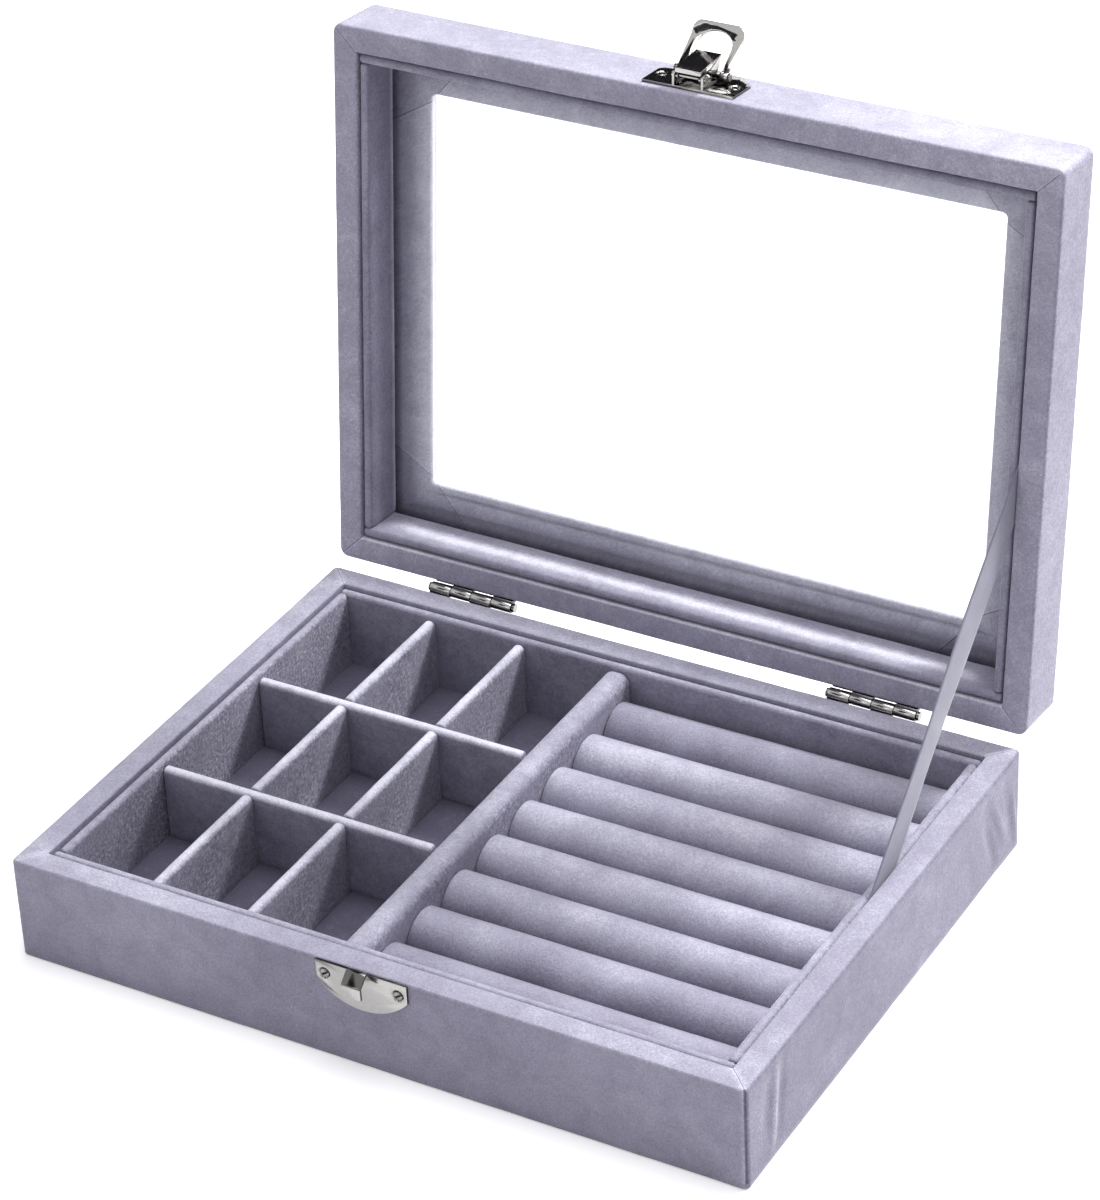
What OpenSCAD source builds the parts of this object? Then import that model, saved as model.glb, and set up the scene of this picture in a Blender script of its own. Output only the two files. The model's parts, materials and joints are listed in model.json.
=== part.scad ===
// Hinged ring display box: a board box covered in velvet, with nine small
// compartments, eight ring rolls, a window lid, two butt hinges, a ribbon stay
// and a draw latch. It is drawn with the lid open, as it stands on a counter.
// The origin is the centre of the base's underside, +Y is the hinge side.

/* [Box] */
// Outside width, left to right
box_w = 200; // [170:5:260]
// Outside depth, front to back
box_d = 150; // [125:5:200]
// Height of the base from the table to its rim
base_h = 28.5; // [26:0.5:40]
// Height of the lid from its rim to its top
lid_h = 18; // [17:0.5:28]
// Gap between the two rims when the lid is shut
rim_gap = 0.5; // [0.4:0.1:1]
// How far the lid turns from shut to open
open_angle = 96; // [92:1:104]
// Radius of the upright outer corners
corner_r = 2.5; // [1.5:0.5:5]
// Radius of the rim edges
edge_r = 1.5; // [0.8:0.1:2.5]

/* [Boards and velvet] */
// Thickness of the wall boards
board_t = 5.8; // [5:0.2:8]
// Thickness of the velvet on the boards
velvet_t = 0.5; // [0.3:0.1:0.8]
// How far the velvet is turned down inside the rims
turn_down = 9; // [6:1:11]
// Thickness of the bottom board
bottom_t = 3; // [2:0.5:5]
// Thickness of the cover sheet under the base
cover_t = 0.8; // [0.5:0.1:1.5]
// Thickness of the lid's window board
panel_t = 2; // [1.5:0.5:3]
// Width of the lid's frame around the window
window_margin = 20; // [17:1:30]
// Radius of the window's corners
window_r = 1.5; // [1:0.5:6]
// Thickness of the glass
glass_t = 2; // [1.5:0.5:3]

/* [Inner trim] */
// Width of the groove between a wall and its liner
groove_w = 0.5; // [0.4:0.1:1]
// Thickness of the liners, velvet included
liner_t = 2.5; // [2:0.1:3.5]
// How far the liners lie below the rims
liner_drop = 0.7; // [0.3:0.1:2]
// Thickness of the compartment floor and the card bed under the rolls
floor_t = 2.2; // [1.5:0.1:3]
// Thickness of the divider between compartments and rolls
partition_t = 7; // [5:0.5:10]
// Distance from the box's middle to the partition's middle, to the left
partition_offset = 8.5; // [0:0.5:20]
// Thickness of the compartment dividers
divider_t = 3; // [2:0.5:4]
// How far the partition's and dividers' tops lie below the base's rim
divider_drop = 2; // [1:0.5:5]

/* [Ring rolls] */
// Gap between neighbouring rolls
roll_gap = 0.2; // [0.1:0.1:0.6]
// Thickness of a roll's velvet sleeve
sleeve_t = 0.6; // [0.4:0.1:1]
// How much of a roll's underside is flattened where it is glued down
roll_flat = 0.4; // [0.2:0.1:1]

/* [Hinges] */
// Length of each hinge along its pin
hinge_l = 24.4; // [20:0.4:32]
// Distance from the box's side to the middle of a hinge
hinge_inset = 41.5; // [30:0.5:55]
// Width of one hinge leaf
leaf_w = 9.5; // [8:0.5:12]
// Thickness of the leaves
leaf_t = 0.8; // [0.6:0.1:1]
// Radius of the knuckles
knuckle_r = 1.5; // [1.3:0.1:1.8]
// Radius of the hinge pins
hinge_pin_r = 0.7; // [0.5:0.05:0.8]

/* [Latch] */
// Width of the hasp plate on the lid
hasp_w = 25; // [23:0.5:30]
// Height of the hasp plate
hasp_h = 14.8; // [14:0.2:15]
// Distance from the lid's rim to the hasp plate
hasp_drop = 2; // [1.6:0.1:2.4]
// Width of the keeper plate on the base
keeper_w = 25; // [23:0.5:30]
// Height of the keeper plate
keeper_h = 11; // [10:0.2:14]
// Thickness of the latch's plates
plate_t = 0.75; // [0.6:0.05:0.9]
// Distance between the two screws of a latch plate
latch_screw_pitch = 20; // [20:0.5:22]
// Width of the lever
lever_w = 6.9; // [6:0.1:7.2]
// Length of the lever
lever_l = 11.1; // [10.5:0.1:11.4]
// Width of the opening in the loop
loop_inner_w = 9.8; // [9.6:0.1:11]
// Width of the loop's arms
loop_arm_w = 2.2; // [2:0.1:2.5]
// Thickness of the loop
loop_t = 0.8; // [0.6:0.1:0.9]
// Angle between the loop and the hasp plate when it is thrown back
loop_rest_angle = 41; // [36:1:60]
// Width of the keeper's hook
hook_w = 5.2; // [4:0.2:6.4]

/* [Ribbon stay] */
// Width of the ribbon
ribbon_w = 10; // [6:1:12]
// Thickness of the ribbon
ribbon_t = 0.3; // [0.2:0.05:0.3]
// Where the ribbon leaves the base and the lid, back from the box's middle
ribbon_y = 11; // [-10:1:25]
// Length of ribbon tucked behind each liner
ribbon_tuck = 8; // [5:1:9]

/* [Hidden] */
$fn = 48;
running_clearance = 0.05;
seat_clearance = 0.1;
side_clearance = 0.2;
arc_steps = 5;
// How far a cut runs past the face it opens
over = 1;

// One node each, so these counts belong to the list of nodes below
rows = 3;
columns = 3;
roll_count = 8;

// Walls and inside of the box
rim_w = board_t + 2 * velvet_t;
cavity_w = box_w - 2 * rim_w;
cavity_d = box_d - 2 * rim_w;
liner_in_w = cavity_w - 2 * groove_w - 2 * liner_t;
liner_in_d = cavity_d - 2 * groove_w - 2 * liner_t;
deck_z = cover_t + bottom_t;
floor_z = deck_z + floor_t;
hem_z = 0.3;
hem_r = 0.2;

// Lid, in its shut position
rim_z = base_h + rim_gap;
lid_top = rim_z + lid_h;
panel_z = lid_top - velvet_t - panel_t;
glass_z = panel_z - velvet_t - glass_t;
window_w = box_w - 2 * window_margin;
window_d = box_d - 2 * window_margin;
glass_r = 1;

// Hinge axis
axis_off = knuckle_r + 0.3;
axis_y = box_d / 2 + axis_off;
axis_z = base_h + rim_gap / 2;
knuckle_gap = 0.2;
knuckle_l = (hinge_l - 3 * knuckle_gap) / 4;
hinge_x = box_w / 2 - hinge_inset;
pin_head_r = knuckle_r - 0.35;
pin_head_t = 0.7;
leaf_screw_x = hinge_l / 3;
leaf_screw_z = knuckle_r + 0.55 * (leaf_w - knuckle_r);
leaf_corner_r = 1;
knuckle_web = knuckle_r + 1;
leaf_edge_r = 0.1;

// Compartments
partition_x = -partition_offset;
bay_x0 = -liner_in_w / 2;
bay_x1 = partition_x - partition_t / 2;
cell_w = (bay_x1 - bay_x0 - (columns - 1) * divider_t) / columns;
cell_d = (liner_in_d - (rows - 1) * divider_t) / rows;
divider_top = base_h - divider_drop;
divider_round = 0.45 * divider_t;
partition_round = 0.4 * partition_t;

// Ring rolls
roll_pitch = liner_in_d / roll_count;
roll_r = (roll_pitch - roll_gap) / 2;
roll_x0 = partition_x + partition_t / 2 + seat_clearance;
roll_x1 = liner_in_w / 2 - seat_clearance;
roll_axis_z = floor_z + roll_r - roll_flat;

// Screws
screw_r = 0.7;
screw_head_r = 1.7;
screw_head_t = 0.7;
screw_dome_t = 0.25;
screw_dome_in = 0.5;
screw_slot_w = 0.5;
screw_slot_depth = 0.15;
screw_l = 5.2;

// Latch, in its own frame: X across, Y up the lid from the hasp plate's
// straight edge, Z out of the box's front
hasp_z = rim_z + hasp_drop;
hasp_arch_h = 5.5;
hasp_side_h = hasp_h - hasp_arch_h;
hasp_screw_y = 6;
keeper_side_h = 5;
keeper_screw_y = -3.4;
latch_pin_r = 0.6;
latch_head_t = 0.3;
latch_head_r = 0.95;

// Lever's pin, and the ears that hold it
pivot_y = 1.2;
pivot_stand = 2.55;
pivot_z = plate_t + pivot_stand;
ear_t = 0.6;
ear_l = 7.2;
ear_top_l = 2.2;
ear_cover = 1;
ear_tail = 0.65;
ear_front_z = pivot_z + ear_cover;
ear_tail_z = plate_t + ear_tail;
ear_chamfer = 0.6;
ear_x = lever_w / 2 + side_clearance;

// Lever: its front stands over its pin, and it flares towards its tail
lever_t = 0.6;
lever_cover = 2;
lever_flare = 1.3;
lever_front_z = pivot_z + lever_cover;
lever_tail_z = lever_front_z + lever_flare;
lever_lip = 1.1;
lever_heel_r = 1.1;
heel_end = 340;

// Loop, on its own pin in the lever
pin_pitch = 6.8;
pin_drop = 1.1;
loop_pivot_y = pivot_y + pin_pitch;
loop_pivot_z = pivot_z - pin_drop;
loop_eye_r = 1.1;
loop_outer_w = loop_inner_w + 2 * loop_arm_w;
loop_pin_reach = loop_outer_w / 2 + side_clearance;
loop_bend = 22;
loop_bend_before = 0.6;
loop_bend_y = loop_pivot_y + hasp_drop + rim_gap - loop_bend_before;
loop_hook_room = 1.65;
loop_inner_l = loop_bend_y + loop_hook_room;
loop_outer_l = loop_inner_l + loop_arm_w;
loop_corner_r = 2.5;
loop_arch_flat = 1.4;
loop_arch_r = (loop_inner_w - loop_arch_flat) / 2;

// Keeper hook, in the same directions, with Y = 0 at the base's rim: a strip
// that bulges over the rim, slopes down, folds and ends in a downward tip
hook_root = 1.6;
hook_step = [0.7, 0.1];
hook_dome_r = 1.3;
hook_dome_stand = 0.6;
hook_inner_r = 0.35;
hook_fold_r = plate_t + hook_inner_r;
hook_slope = 42;
hook_slope_l = 2.8;
hook_dome = [0.1, hook_dome_r + hook_dome_stand];
hook_fold = hook_dome + hook_slope_l * [-sin(hook_slope), cos(hook_slope)]
    + (hook_dome_r - hook_fold_r) * [cos(hook_slope), sin(hook_slope)];
hook_tip_y = -4.5;
hook_tip_in = 0.1;

// Ribbon, from where it leaves the base to where it enters the lid
ribbon_x = cavity_w / 2 - groove_w / 2;
lid_end = opened([ribbon_y, rim_z]);
ribbon_run = lid_end - [ribbon_y, base_h];
ribbon_l = norm(ribbon_run);
ribbon_angle = atan2(ribbon_run[1], ribbon_run[0]);

velvet_colour = [0.62, 0.60, 0.70];
velvet_light = [0.72, 0.71, 0.80];
board_colour = [0.66, 0.53, 0.38];
card_colour = [0.45, 0.43, 0.45];
foam_colour = [0.90, 0.88, 0.80];
steel_colour = [0.80, 0.80, 0.82];
glass_colour = [0.85, 0.93, 0.95, 0.3];
ribbon_colour = [0.78, 0.77, 0.86];

// ---- Points and profiles ----

// Where a point [y, z] of the shut lid lies when the lid is open
function opened(p) =
    let (dy = p[0] - axis_y, dz = p[1] - axis_z, c = cos(open_angle), s = sin(open_angle))
    [axis_y + c * dy + s * dz, axis_z - s * dy + c * dz];

// Points of an arc about c, from angle a to angle b
function arc(c, r, a, b, n = arc_steps) =
    [for (i = [0 : n]) c + r * [cos(a + (b - a) * i / n), sin(a + (b - a) * i / n)]];

// Outline of a rectangle from [x0, y0] to [x1, y1]; low and high are the radii
// of its lower and its upper corners
function rounded(x0, y0, x1, y1, low, high) = concat(
    arc([x0 + low, y0 + low], low, 180, 270),
    arc([x1 - low, y0 + low], low, 270, 360),
    arc([x1 - high, y1 - high], high, 0, 90),
    arc([x0 + high, y1 - high], high, 90, 180)
);

// Half-moon plate: straight edge at y = 0, straight sides, then one arc
function half_moon(w, side, h) =
    let (s = h - side, r = (w * w / 4 + s * s) / (2 * s), half = asin(w / 2 / r))
    concat([[-w / 2, 0], [w / 2, 0]], arc([0, h - r], r, 90 - half, 90 + half, 20));

// ---- Placing ----

module along_x(len) {
    translate([-len / 2, 0, 0])
        rotate([90, 0, 90])
            linear_extrude(len)
                children();
}

module along_y(len) {
    translate([0, len / 2, 0])
        rotate([90, 0, 0])
            linear_extrude(len)
                children();
}

module rod_x(r, len) {
    rotate([0, 90, 0])
        cylinder(h = len, r = r, center = true);
}

// A block centred on the Z axis
module slab(w, d, z0, z1) {
    translate([-w / 2, -d / 2, z0])
        cube([w, d, z1 - z0]);
}

module open_lid() {
    translate([0, axis_y, axis_z])
        rotate([-open_angle, 0, 0])
            translate([0, -axis_y, -axis_z])
                children();
}

module on_front(z) {
    translate([0, -box_d / 2, z])
        rotate([90, 0, 0])
            children();
}

module at_hinge(side) {
    translate([side * hinge_x, axis_y, axis_z])
        children();
}

// ---- Blocks with rounded edges ----

module rounded_block(w, d, z0, z1, r, low, high) {
    intersection() {
        translate([0, 0, z0])
            linear_extrude(z1 - z0)
                polygon(rounded(-w / 2, -d / 2, w / 2, d / 2, r, r));
        along_x(w)
            polygon(rounded(-d / 2, z0, d / 2, z1, low, high));
        along_y(d)
            polygon(rounded(-w / 2, z0, w / 2, z1, low, high));
    }
}

module base_block(inset) {
    rounded_block(
        box_w - 2 * inset, box_d - 2 * inset, hem_z, base_h - inset,
        corner_r - inset, hem_r, edge_r - inset
    );
}

module lid_block(inset) {
    rounded_block(
        box_w - 2 * inset, box_d - 2 * inset, rim_z + inset, lid_top - inset,
        corner_r - inset, edge_r - inset, edge_r - inset
    );
}

// ---- Screws ----

// A countersunk wood screw into the surface at Z = 0, through a plate of
// thickness t; clearance widens it for the hole that it sits in
module screw(t, clearance = 0) {
    translate([0, 0, t - screw_head_t - screw_l])
        cylinder(h = screw_l, r = screw_r + clearance);
    translate([0, 0, t - screw_head_t])
        cylinder(h = screw_head_t, r1 = screw_r + clearance, r2 = screw_head_r + clearance);
}

module slotted_screw(t) {
    difference() {
        union() {
            screw(t);
            translate([0, 0, t])
                cylinder(h = screw_dome_t, r1 = screw_head_r, r2 = screw_head_r - screw_dome_in);
        }
        translate([-screw_head_r, -screw_slot_w / 2, t - screw_slot_depth])
            cube([2 * screw_head_r, screw_slot_w, over]);
    }
}

module keeper_screw_places() {
    on_front(base_h)
        for (side = [-1, 1])
            translate([side * latch_screw_pitch / 2, keeper_screw_y, 0])
                children();
}

module hasp_screw_places() {
    on_front(hasp_z)
        for (side = [-1, 1])
            translate([side * latch_screw_pitch / 2, hasp_screw_y, 0])
                children();
}

// On the back face: up is 1 for the lid's leaves and -1 for the base's
module hinge_screw_places(up) {
    for (hinge = [-1, 1], side = [-1, 1])
        translate([
            hinge * hinge_x + side * leaf_screw_x,
            box_d / 2,
            axis_z + up * leaf_screw_z
        ])
            rotate([-90, 0, 0])
                children();
}

// ---- Base: boards and velvet ----

module base_wall(x0, y0, x1, y1) {
    color(board_colour)
        intersection() {
            base_block(velvet_t);
            translate([x0, y0, cover_t])
                cube([x1 - x0, y1 - y0, base_h - velvet_t - cover_t]);
        }
}

board_out_x = box_w / 2 - velvet_t;
board_in_x = board_out_x - board_t;
board_out_y = box_d / 2 - velvet_t;
board_in_y = board_out_y - board_t;

module base_front_board() {
    difference() {
        base_wall(-board_out_x, -board_out_y, board_out_x, -board_in_y);
        keeper_screw_places()
            screw(plate_t, running_clearance);
    }
}

module base_back_board() {
    difference() {
        base_wall(-board_out_x, board_in_y, board_out_x, board_out_y);
        hinge_screw_places(-1)
            screw(leaf_t, running_clearance);
    }
}

module base_left_board() {
    base_wall(-board_out_x, -board_in_y, -board_in_x, board_in_y);
}

module base_right_board() {
    base_wall(board_in_x, -board_in_y, board_out_x, board_in_y);
}

module base_bottom_board() {
    color(board_colour)
        slab(2 * board_in_x, 2 * board_in_y, cover_t, deck_z);
}

module bottom_cover() {
    color(card_colour)
        linear_extrude(cover_t)
            polygon(rounded(
                -board_out_x, -board_out_y, board_out_x, board_out_y,
                corner_r - velvet_t, corner_r - velvet_t
            ));
}

// One skin over the outside and the rim, turned down inside the walls
module base_velvet() {
    color(velvet_colour)
        difference() {
            union() {
                difference() {
                    base_block(0);
                    translate([0, 0, hem_z - over])
                        linear_extrude(base_h - velvet_t - edge_r - hem_z + over)
                            polygon(rounded(
                                -board_out_x, -board_out_y, board_out_x, board_out_y,
                                corner_r - velvet_t, corner_r - velvet_t
                            ));
                    base_block(velvet_t);
                }
                difference() {
                    slab(2 * board_in_x, 2 * board_in_y, base_h - turn_down, base_h - velvet_t);
                    slab(cavity_w, cavity_d, 0, base_h);
                }
            }
            slab(cavity_w, cavity_d, -over, base_h + over);
            keeper_screw_places()
                screw(plate_t, running_clearance);
            hinge_screw_places(-1)
                screw(leaf_t, running_clearance);
        }
}

// ---- Liners: velvet-covered card strips inside the walls ----

function liner_profile(z0, z1, low, high) =
    rounded(-liner_t / 2, z0, liner_t / 2, z1, low, high);

module liner_x(side, z0, z1, low, high) {
    translate([0, side * (liner_in_d + liner_t) / 2, 0])
        along_x(liner_in_w + 2 * liner_t)
            polygon(liner_profile(z0, z1, low, high));
}

module liner_y(side, z0, z1, low, high) {
    translate([side * (liner_in_w + liner_t) / 2, 0, 0])
        along_y(liner_in_d)
            polygon(liner_profile(z0, z1, low, high));
}

soft_r = 0.42 * liner_t;
square_r = 0.05;
base_liner_top = base_h - liner_drop;
lid_liner_bottom = rim_z + liner_drop;

module base_liner_x(side) {
    color(velvet_light)
        liner_x(side, deck_z, base_liner_top, square_r, soft_r);
}

module base_liner_y(side) {
    color(velvet_light)
        liner_y(side, deck_z, base_liner_top, square_r, soft_r);
}

module base_liner_front() { base_liner_x(-1); }
module base_liner_back() { base_liner_x(1); }
module base_liner_left() { base_liner_y(-1); }
module base_liner_right() { base_liner_y(1); }

// ---- Compartments ----

module compartment_floor() {
    color(velvet_colour)
        translate([bay_x0, -liner_in_d / 2, deck_z])
            cube([bay_x1 - bay_x0, liner_in_d, floor_t]);
}

module roll_bed() {
    color(card_colour)
        translate([roll_x0 - seat_clearance, -liner_in_d / 2, deck_z])
            cube([roll_x1 - roll_x0 + 2 * seat_clearance, liner_in_d, floor_t]);
}

module centre_partition() {
    color(velvet_light)
        translate([partition_x, 0, 0])
            along_y(liner_in_d)
                polygon(rounded(
                    -partition_t / 2, deck_z, partition_t / 2, divider_top,
                    square_r, partition_round
                ));
}

function divider_profile() =
    rounded(-divider_t / 2, floor_z, divider_t / 2, divider_top, square_r, divider_round);

// A long divider behind the n-th row of compartments
module long_divider(n) {
    color(velvet_light)
        translate([(bay_x0 + bay_x1) / 2, -liner_in_d / 2 + n * (cell_d + divider_t) - divider_t / 2, 0])
            along_x(bay_x1 - bay_x0)
                polygon(divider_profile());
}

// A short divider in row n (from the front), right of column m
module short_divider(n, m) {
    color(velvet_light)
        translate([
            bay_x0 + m * (cell_w + divider_t) - divider_t / 2,
            -liner_in_d / 2 + (n - 1) * (cell_d + divider_t) + cell_d / 2,
            0
        ])
            along_y(cell_d)
                polygon(divider_profile());
}

module long_divider_front() { long_divider(1); }
module long_divider_back() { long_divider(2); }
module short_divider_front_left() { short_divider(1, 1); }
module short_divider_front_right() { short_divider(1, 2); }
module short_divider_middle_left() { short_divider(2, 1); }
module short_divider_middle_right() { short_divider(2, 2); }
module short_divider_back_left() { short_divider(3, 1); }
module short_divider_back_right() { short_divider(3, 2); }

// ---- Ring rolls ----

// A roll's bar, thinner by skin, with its glued underside flattened
module roll_bar(skin, x0, x1) {
    intersection() {
        translate([(x0 + x1) / 2, 0, roll_axis_z])
            rod_x(roll_r - skin, x1 - x0);
        translate([x0 - over, -roll_pitch, floor_z + skin])
            cube([x1 - x0 + 2 * over, 2 * roll_pitch, 2 * roll_r]);
    }
}

module at_roll(n) {
    translate([0, liner_in_d / 2 - (n - 0.5) * roll_pitch, 0])
        children();
}

// The velvet sleeve of roll n, counted from the back
module ring_roll(n) {
    color(velvet_light)
        at_roll(n)
            difference() {
                roll_bar(0, roll_x0, roll_x1);
                roll_bar(sleeve_t, roll_x0 - over, roll_x1 + over);
            }
}

module roll_foam_cores() {
    color(foam_colour)
        for (n = [1 : roll_count])
            at_roll(n)
                roll_bar(sleeve_t + running_clearance, roll_x0, roll_x1);
}

module ring_roll_1() { ring_roll(1); }
module ring_roll_2() { ring_roll(2); }
module ring_roll_3() { ring_roll(3); }
module ring_roll_4() { ring_roll(4); }
module ring_roll_5() { ring_roll(5); }
module ring_roll_6() { ring_roll(6); }
module ring_roll_7() { ring_roll(7); }
module ring_roll_8() { ring_roll(8); }

// ---- Hinges ----

// Knuckles n = 0 and 2 belong to the base, 1 and 3 to the lid
function knuckle_x(n) = -hinge_l / 2 + (n + 0.5) * knuckle_l + n * knuckle_gap;

// A leaf flat on the back face with its two knuckles rolled around the pin.
// up is 1 for the lid's leaf, drawn shut, and -1 for the base's
module hinge_leaf(side, up, bore_r) {
    first = up > 0 ? 1 : 0;
    color(steel_colour)
        difference() {
            at_hinge(side)
                difference() {
                    union() {
                        translate([0, leaf_t - axis_off, 0])
                            rotate([90, 0, 0])
                                linear_extrude(leaf_t)
                                    polygon([for (p = rounded(
                                        -hinge_l / 2, knuckle_r + side_clearance,
                                        hinge_l / 2, leaf_w, leaf_edge_r, leaf_corner_r
                                    )) [p[0], up * p[1]]]);
                        for (n = [first, first + 2])
                            translate([knuckle_x(n), 0, 0]) {
                                rod_x(knuckle_r, knuckle_l);
                                translate([-knuckle_l / 2, -axis_off, up > 0 ? 0 : -knuckle_web])
                                    cube([knuckle_l, leaf_t, knuckle_web]);
                            }
                    }
                    rod_x(bore_r, hinge_l + 2 * over);
                }
            hinge_screw_places(up)
                screw(leaf_t, running_clearance);
        }
}

module hinge_pin(side) {
    color(steel_colour)
        at_hinge(side) {
            translate([knuckle_gap / 2, 0, 0])
                rod_x(hinge_pin_r, hinge_l + knuckle_gap + pin_head_t);
            translate([-(hinge_l + pin_head_t) / 2, 0, 0])
                rod_x(pin_head_r, pin_head_t);
            translate([(hinge_l + pin_head_t) / 2 + knuckle_gap, 0, 0])
                rod_x(pin_head_r, pin_head_t);
        }
}

module hinge_leaf_base_left() { hinge_leaf(-1, -1, hinge_pin_r); }
module hinge_leaf_base_right() { hinge_leaf(1, -1, hinge_pin_r); }
module hinge_leaf_lid_left() { open_lid() hinge_leaf(-1, 1, hinge_pin_r + running_clearance); }
module hinge_leaf_lid_right() { open_lid() hinge_leaf(1, 1, hinge_pin_r + running_clearance); }
module hinge_pin_left() { hinge_pin(-1); }
module hinge_pin_right() { hinge_pin(1); }

module base_hinge_screws() {
    color(steel_colour)
        hinge_screw_places(-1)
            slotted_screw(leaf_t);
}

module lid_hinge_screws() {
    color(steel_colour)
        open_lid()
            hinge_screw_places(1)
                slotted_screw(leaf_t);
}

// ---- Lid: boards, window, glass and velvet ----

module lid_wall(x0, y0, x1, y1) {
    color(board_colour)
        intersection() {
            lid_block(velvet_t);
            translate([x0, y0, rim_z + velvet_t])
                cube([x1 - x0, y1 - y0, panel_z - rim_z - velvet_t]);
        }
}

module lid_front_board() {
    open_lid()
        difference() {
            lid_wall(-board_out_x, -board_out_y, board_out_x, -board_in_y);
            hasp_screw_places()
                screw(plate_t, running_clearance);
        }
}

module lid_back_board() {
    open_lid()
        difference() {
            lid_wall(-board_out_x, board_in_y, board_out_x, board_out_y);
            hinge_screw_places(1)
                screw(leaf_t, running_clearance);
        }
}

module lid_left_board() { open_lid() lid_wall(-board_out_x, -board_in_y, -board_in_x, board_in_y); }
module lid_right_board() { open_lid() lid_wall(board_in_x, -board_in_y, board_out_x, board_in_y); }

module window_hole(margin, z0, z1) {
    translate([0, 0, z0])
        linear_extrude(z1 - z0)
            polygon(rounded(
                -window_w / 2 - margin, -window_d / 2 - margin,
                window_w / 2 + margin, window_d / 2 + margin,
                window_r + margin, window_r + margin
            ));
}

module lid_window_board() {
    color(board_colour)
        open_lid()
            difference() {
                intersection() {
                    lid_block(velvet_t);
                    slab(box_w, box_d, panel_z, lid_top);
                }
                window_hole(velvet_t, panel_z - over, lid_top + over);
            }
}

module glass_pane() {
    color(glass_colour)
        open_lid()
            translate([0, 0, glass_z])
                linear_extrude(glass_t)
                    polygon(rounded(
                        -cavity_w / 2 + side_clearance, -cavity_d / 2 + side_clearance,
                        cavity_w / 2 - side_clearance, cavity_d / 2 - side_clearance,
                        glass_r, glass_r
                    ));
}

// One skin over the outside, the rim and the window board's two faces
module lid_velvet() {
    color(velvet_colour)
        open_lid()
            difference() {
                union() {
                    difference() {
                        lid_block(0);
                        lid_block(velvet_t);
                    }
                    slab(2 * board_in_x, 2 * board_in_y, rim_z + velvet_t / 2, rim_z + turn_down);
                    slab(2 * board_in_x, 2 * board_in_y, panel_z - velvet_t, panel_z);
                    window_hole(velvet_t, panel_z - velvet_t, lid_top - velvet_t / 2);
                }
                slab(cavity_w, cavity_d, rim_z - over, panel_z - velvet_t);
                window_hole(0, panel_z - velvet_t - over, lid_top + over);
                hasp_screw_places()
                    screw(plate_t, running_clearance);
                hinge_screw_places(1)
                    screw(leaf_t, running_clearance);
            }
}

module lid_liner_x(side) {
    color(velvet_light)
        open_lid()
            liner_x(side, lid_liner_bottom, glass_z, soft_r, square_r);
}

module lid_liner_y(side) {
    color(velvet_light)
        open_lid()
            liner_y(side, lid_liner_bottom, glass_z, soft_r, square_r);
}

module lid_liner_front() { lid_liner_x(-1); }
module lid_liner_back() { lid_liner_x(1); }
module lid_liner_left() { lid_liner_y(-1); }
module lid_liner_right() { lid_liner_y(1); }

// ---- Latch ----

// Keeper: half-moon plate whose top edge is drawn out into a downward hook
module keeper_plate() {
    outer = concat(
        [[-hook_root, 0], [-hook_step[0], hook_step[1]]],
        arc(hook_dome, hook_dome_r, -90, hook_slope, 8),
        arc(hook_fold, hook_fold_r, hook_slope, 90, 4)
    );
    inner = concat(
        arc(hook_fold, hook_fold_r - plate_t, 90, hook_slope, 4),
        arc(hook_dome, hook_dome_r - plate_t, hook_slope, -90, 8),
        [[-1, plate_t], [-hook_root, plate_t]]
    );
    tip_z = hook_fold[1] + hook_fold_r;
    tip = [[hook_tip_y, tip_z - hook_tip_in], [hook_tip_y, tip_z - plate_t - hook_tip_in]];
    color(steel_colour)
        on_front(base_h)
            difference() {
                union() {
                    linear_extrude(plate_t)
                        polygon([for (p = half_moon(keeper_w, keeper_side_h, keeper_h)) [p[0], -p[1]]]);
                    along_x(hook_w)
                        polygon(concat(outer, tip, inner));
                }
                for (side = [-1, 1])
                    translate([side * latch_screw_pitch / 2, keeper_screw_y, 0])
                        screw(plate_t, running_clearance);
            }
}

module keeper_screws() {
    color(steel_colour)
        keeper_screw_places()
            slotted_screw(plate_t);
}

module hasp_screws() {
    color(steel_colour)
        open_lid()
            hasp_screw_places()
                slotted_screw(plate_t);
}

// Hasp plate: half-moon with two ears that hold the lever's pin
module hasp_plate() {
    ear = [
        [0, 0.1],
        [0, ear_front_z - ear_chamfer],
        [ear_chamfer, ear_front_z],
        [ear_top_l, ear_front_z],
        [ear_l, ear_tail_z],
        [ear_l, 0.1]
    ];
    color(steel_colour)
        open_lid()
            on_front(hasp_z)
                difference() {
                    union() {
                        linear_extrude(plate_t)
                            polygon(half_moon(hasp_w, hasp_side_h, hasp_h));
                        for (side = [-1, 1])
                            translate([side * (ear_x + ear_t / 2), 0, 0])
                                along_x(ear_t)
                                    polygon(ear);
                    }
                    translate([0, pivot_y, pivot_z])
                        rod_x(latch_pin_r, 2 * (ear_x + ear_t + over));
                    for (side = [-1, 1])
                        translate([side * latch_screw_pitch / 2, hasp_screw_y, 0])
                            screw(plate_t, running_clearance);
                }
}

module lever_pin() {
    reach = ear_x + ear_t;
    color(steel_colour)
        open_lid()
            on_front(hasp_z)
                translate([0, pivot_y, pivot_z]) {
                    rod_x(latch_pin_r, 2 * reach);
                    for (side = [-1, 1])
                        translate([side * (reach + latch_head_t / 2), 0, 0])
                            rod_x(latch_head_r, latch_head_t);
                }
}

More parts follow.
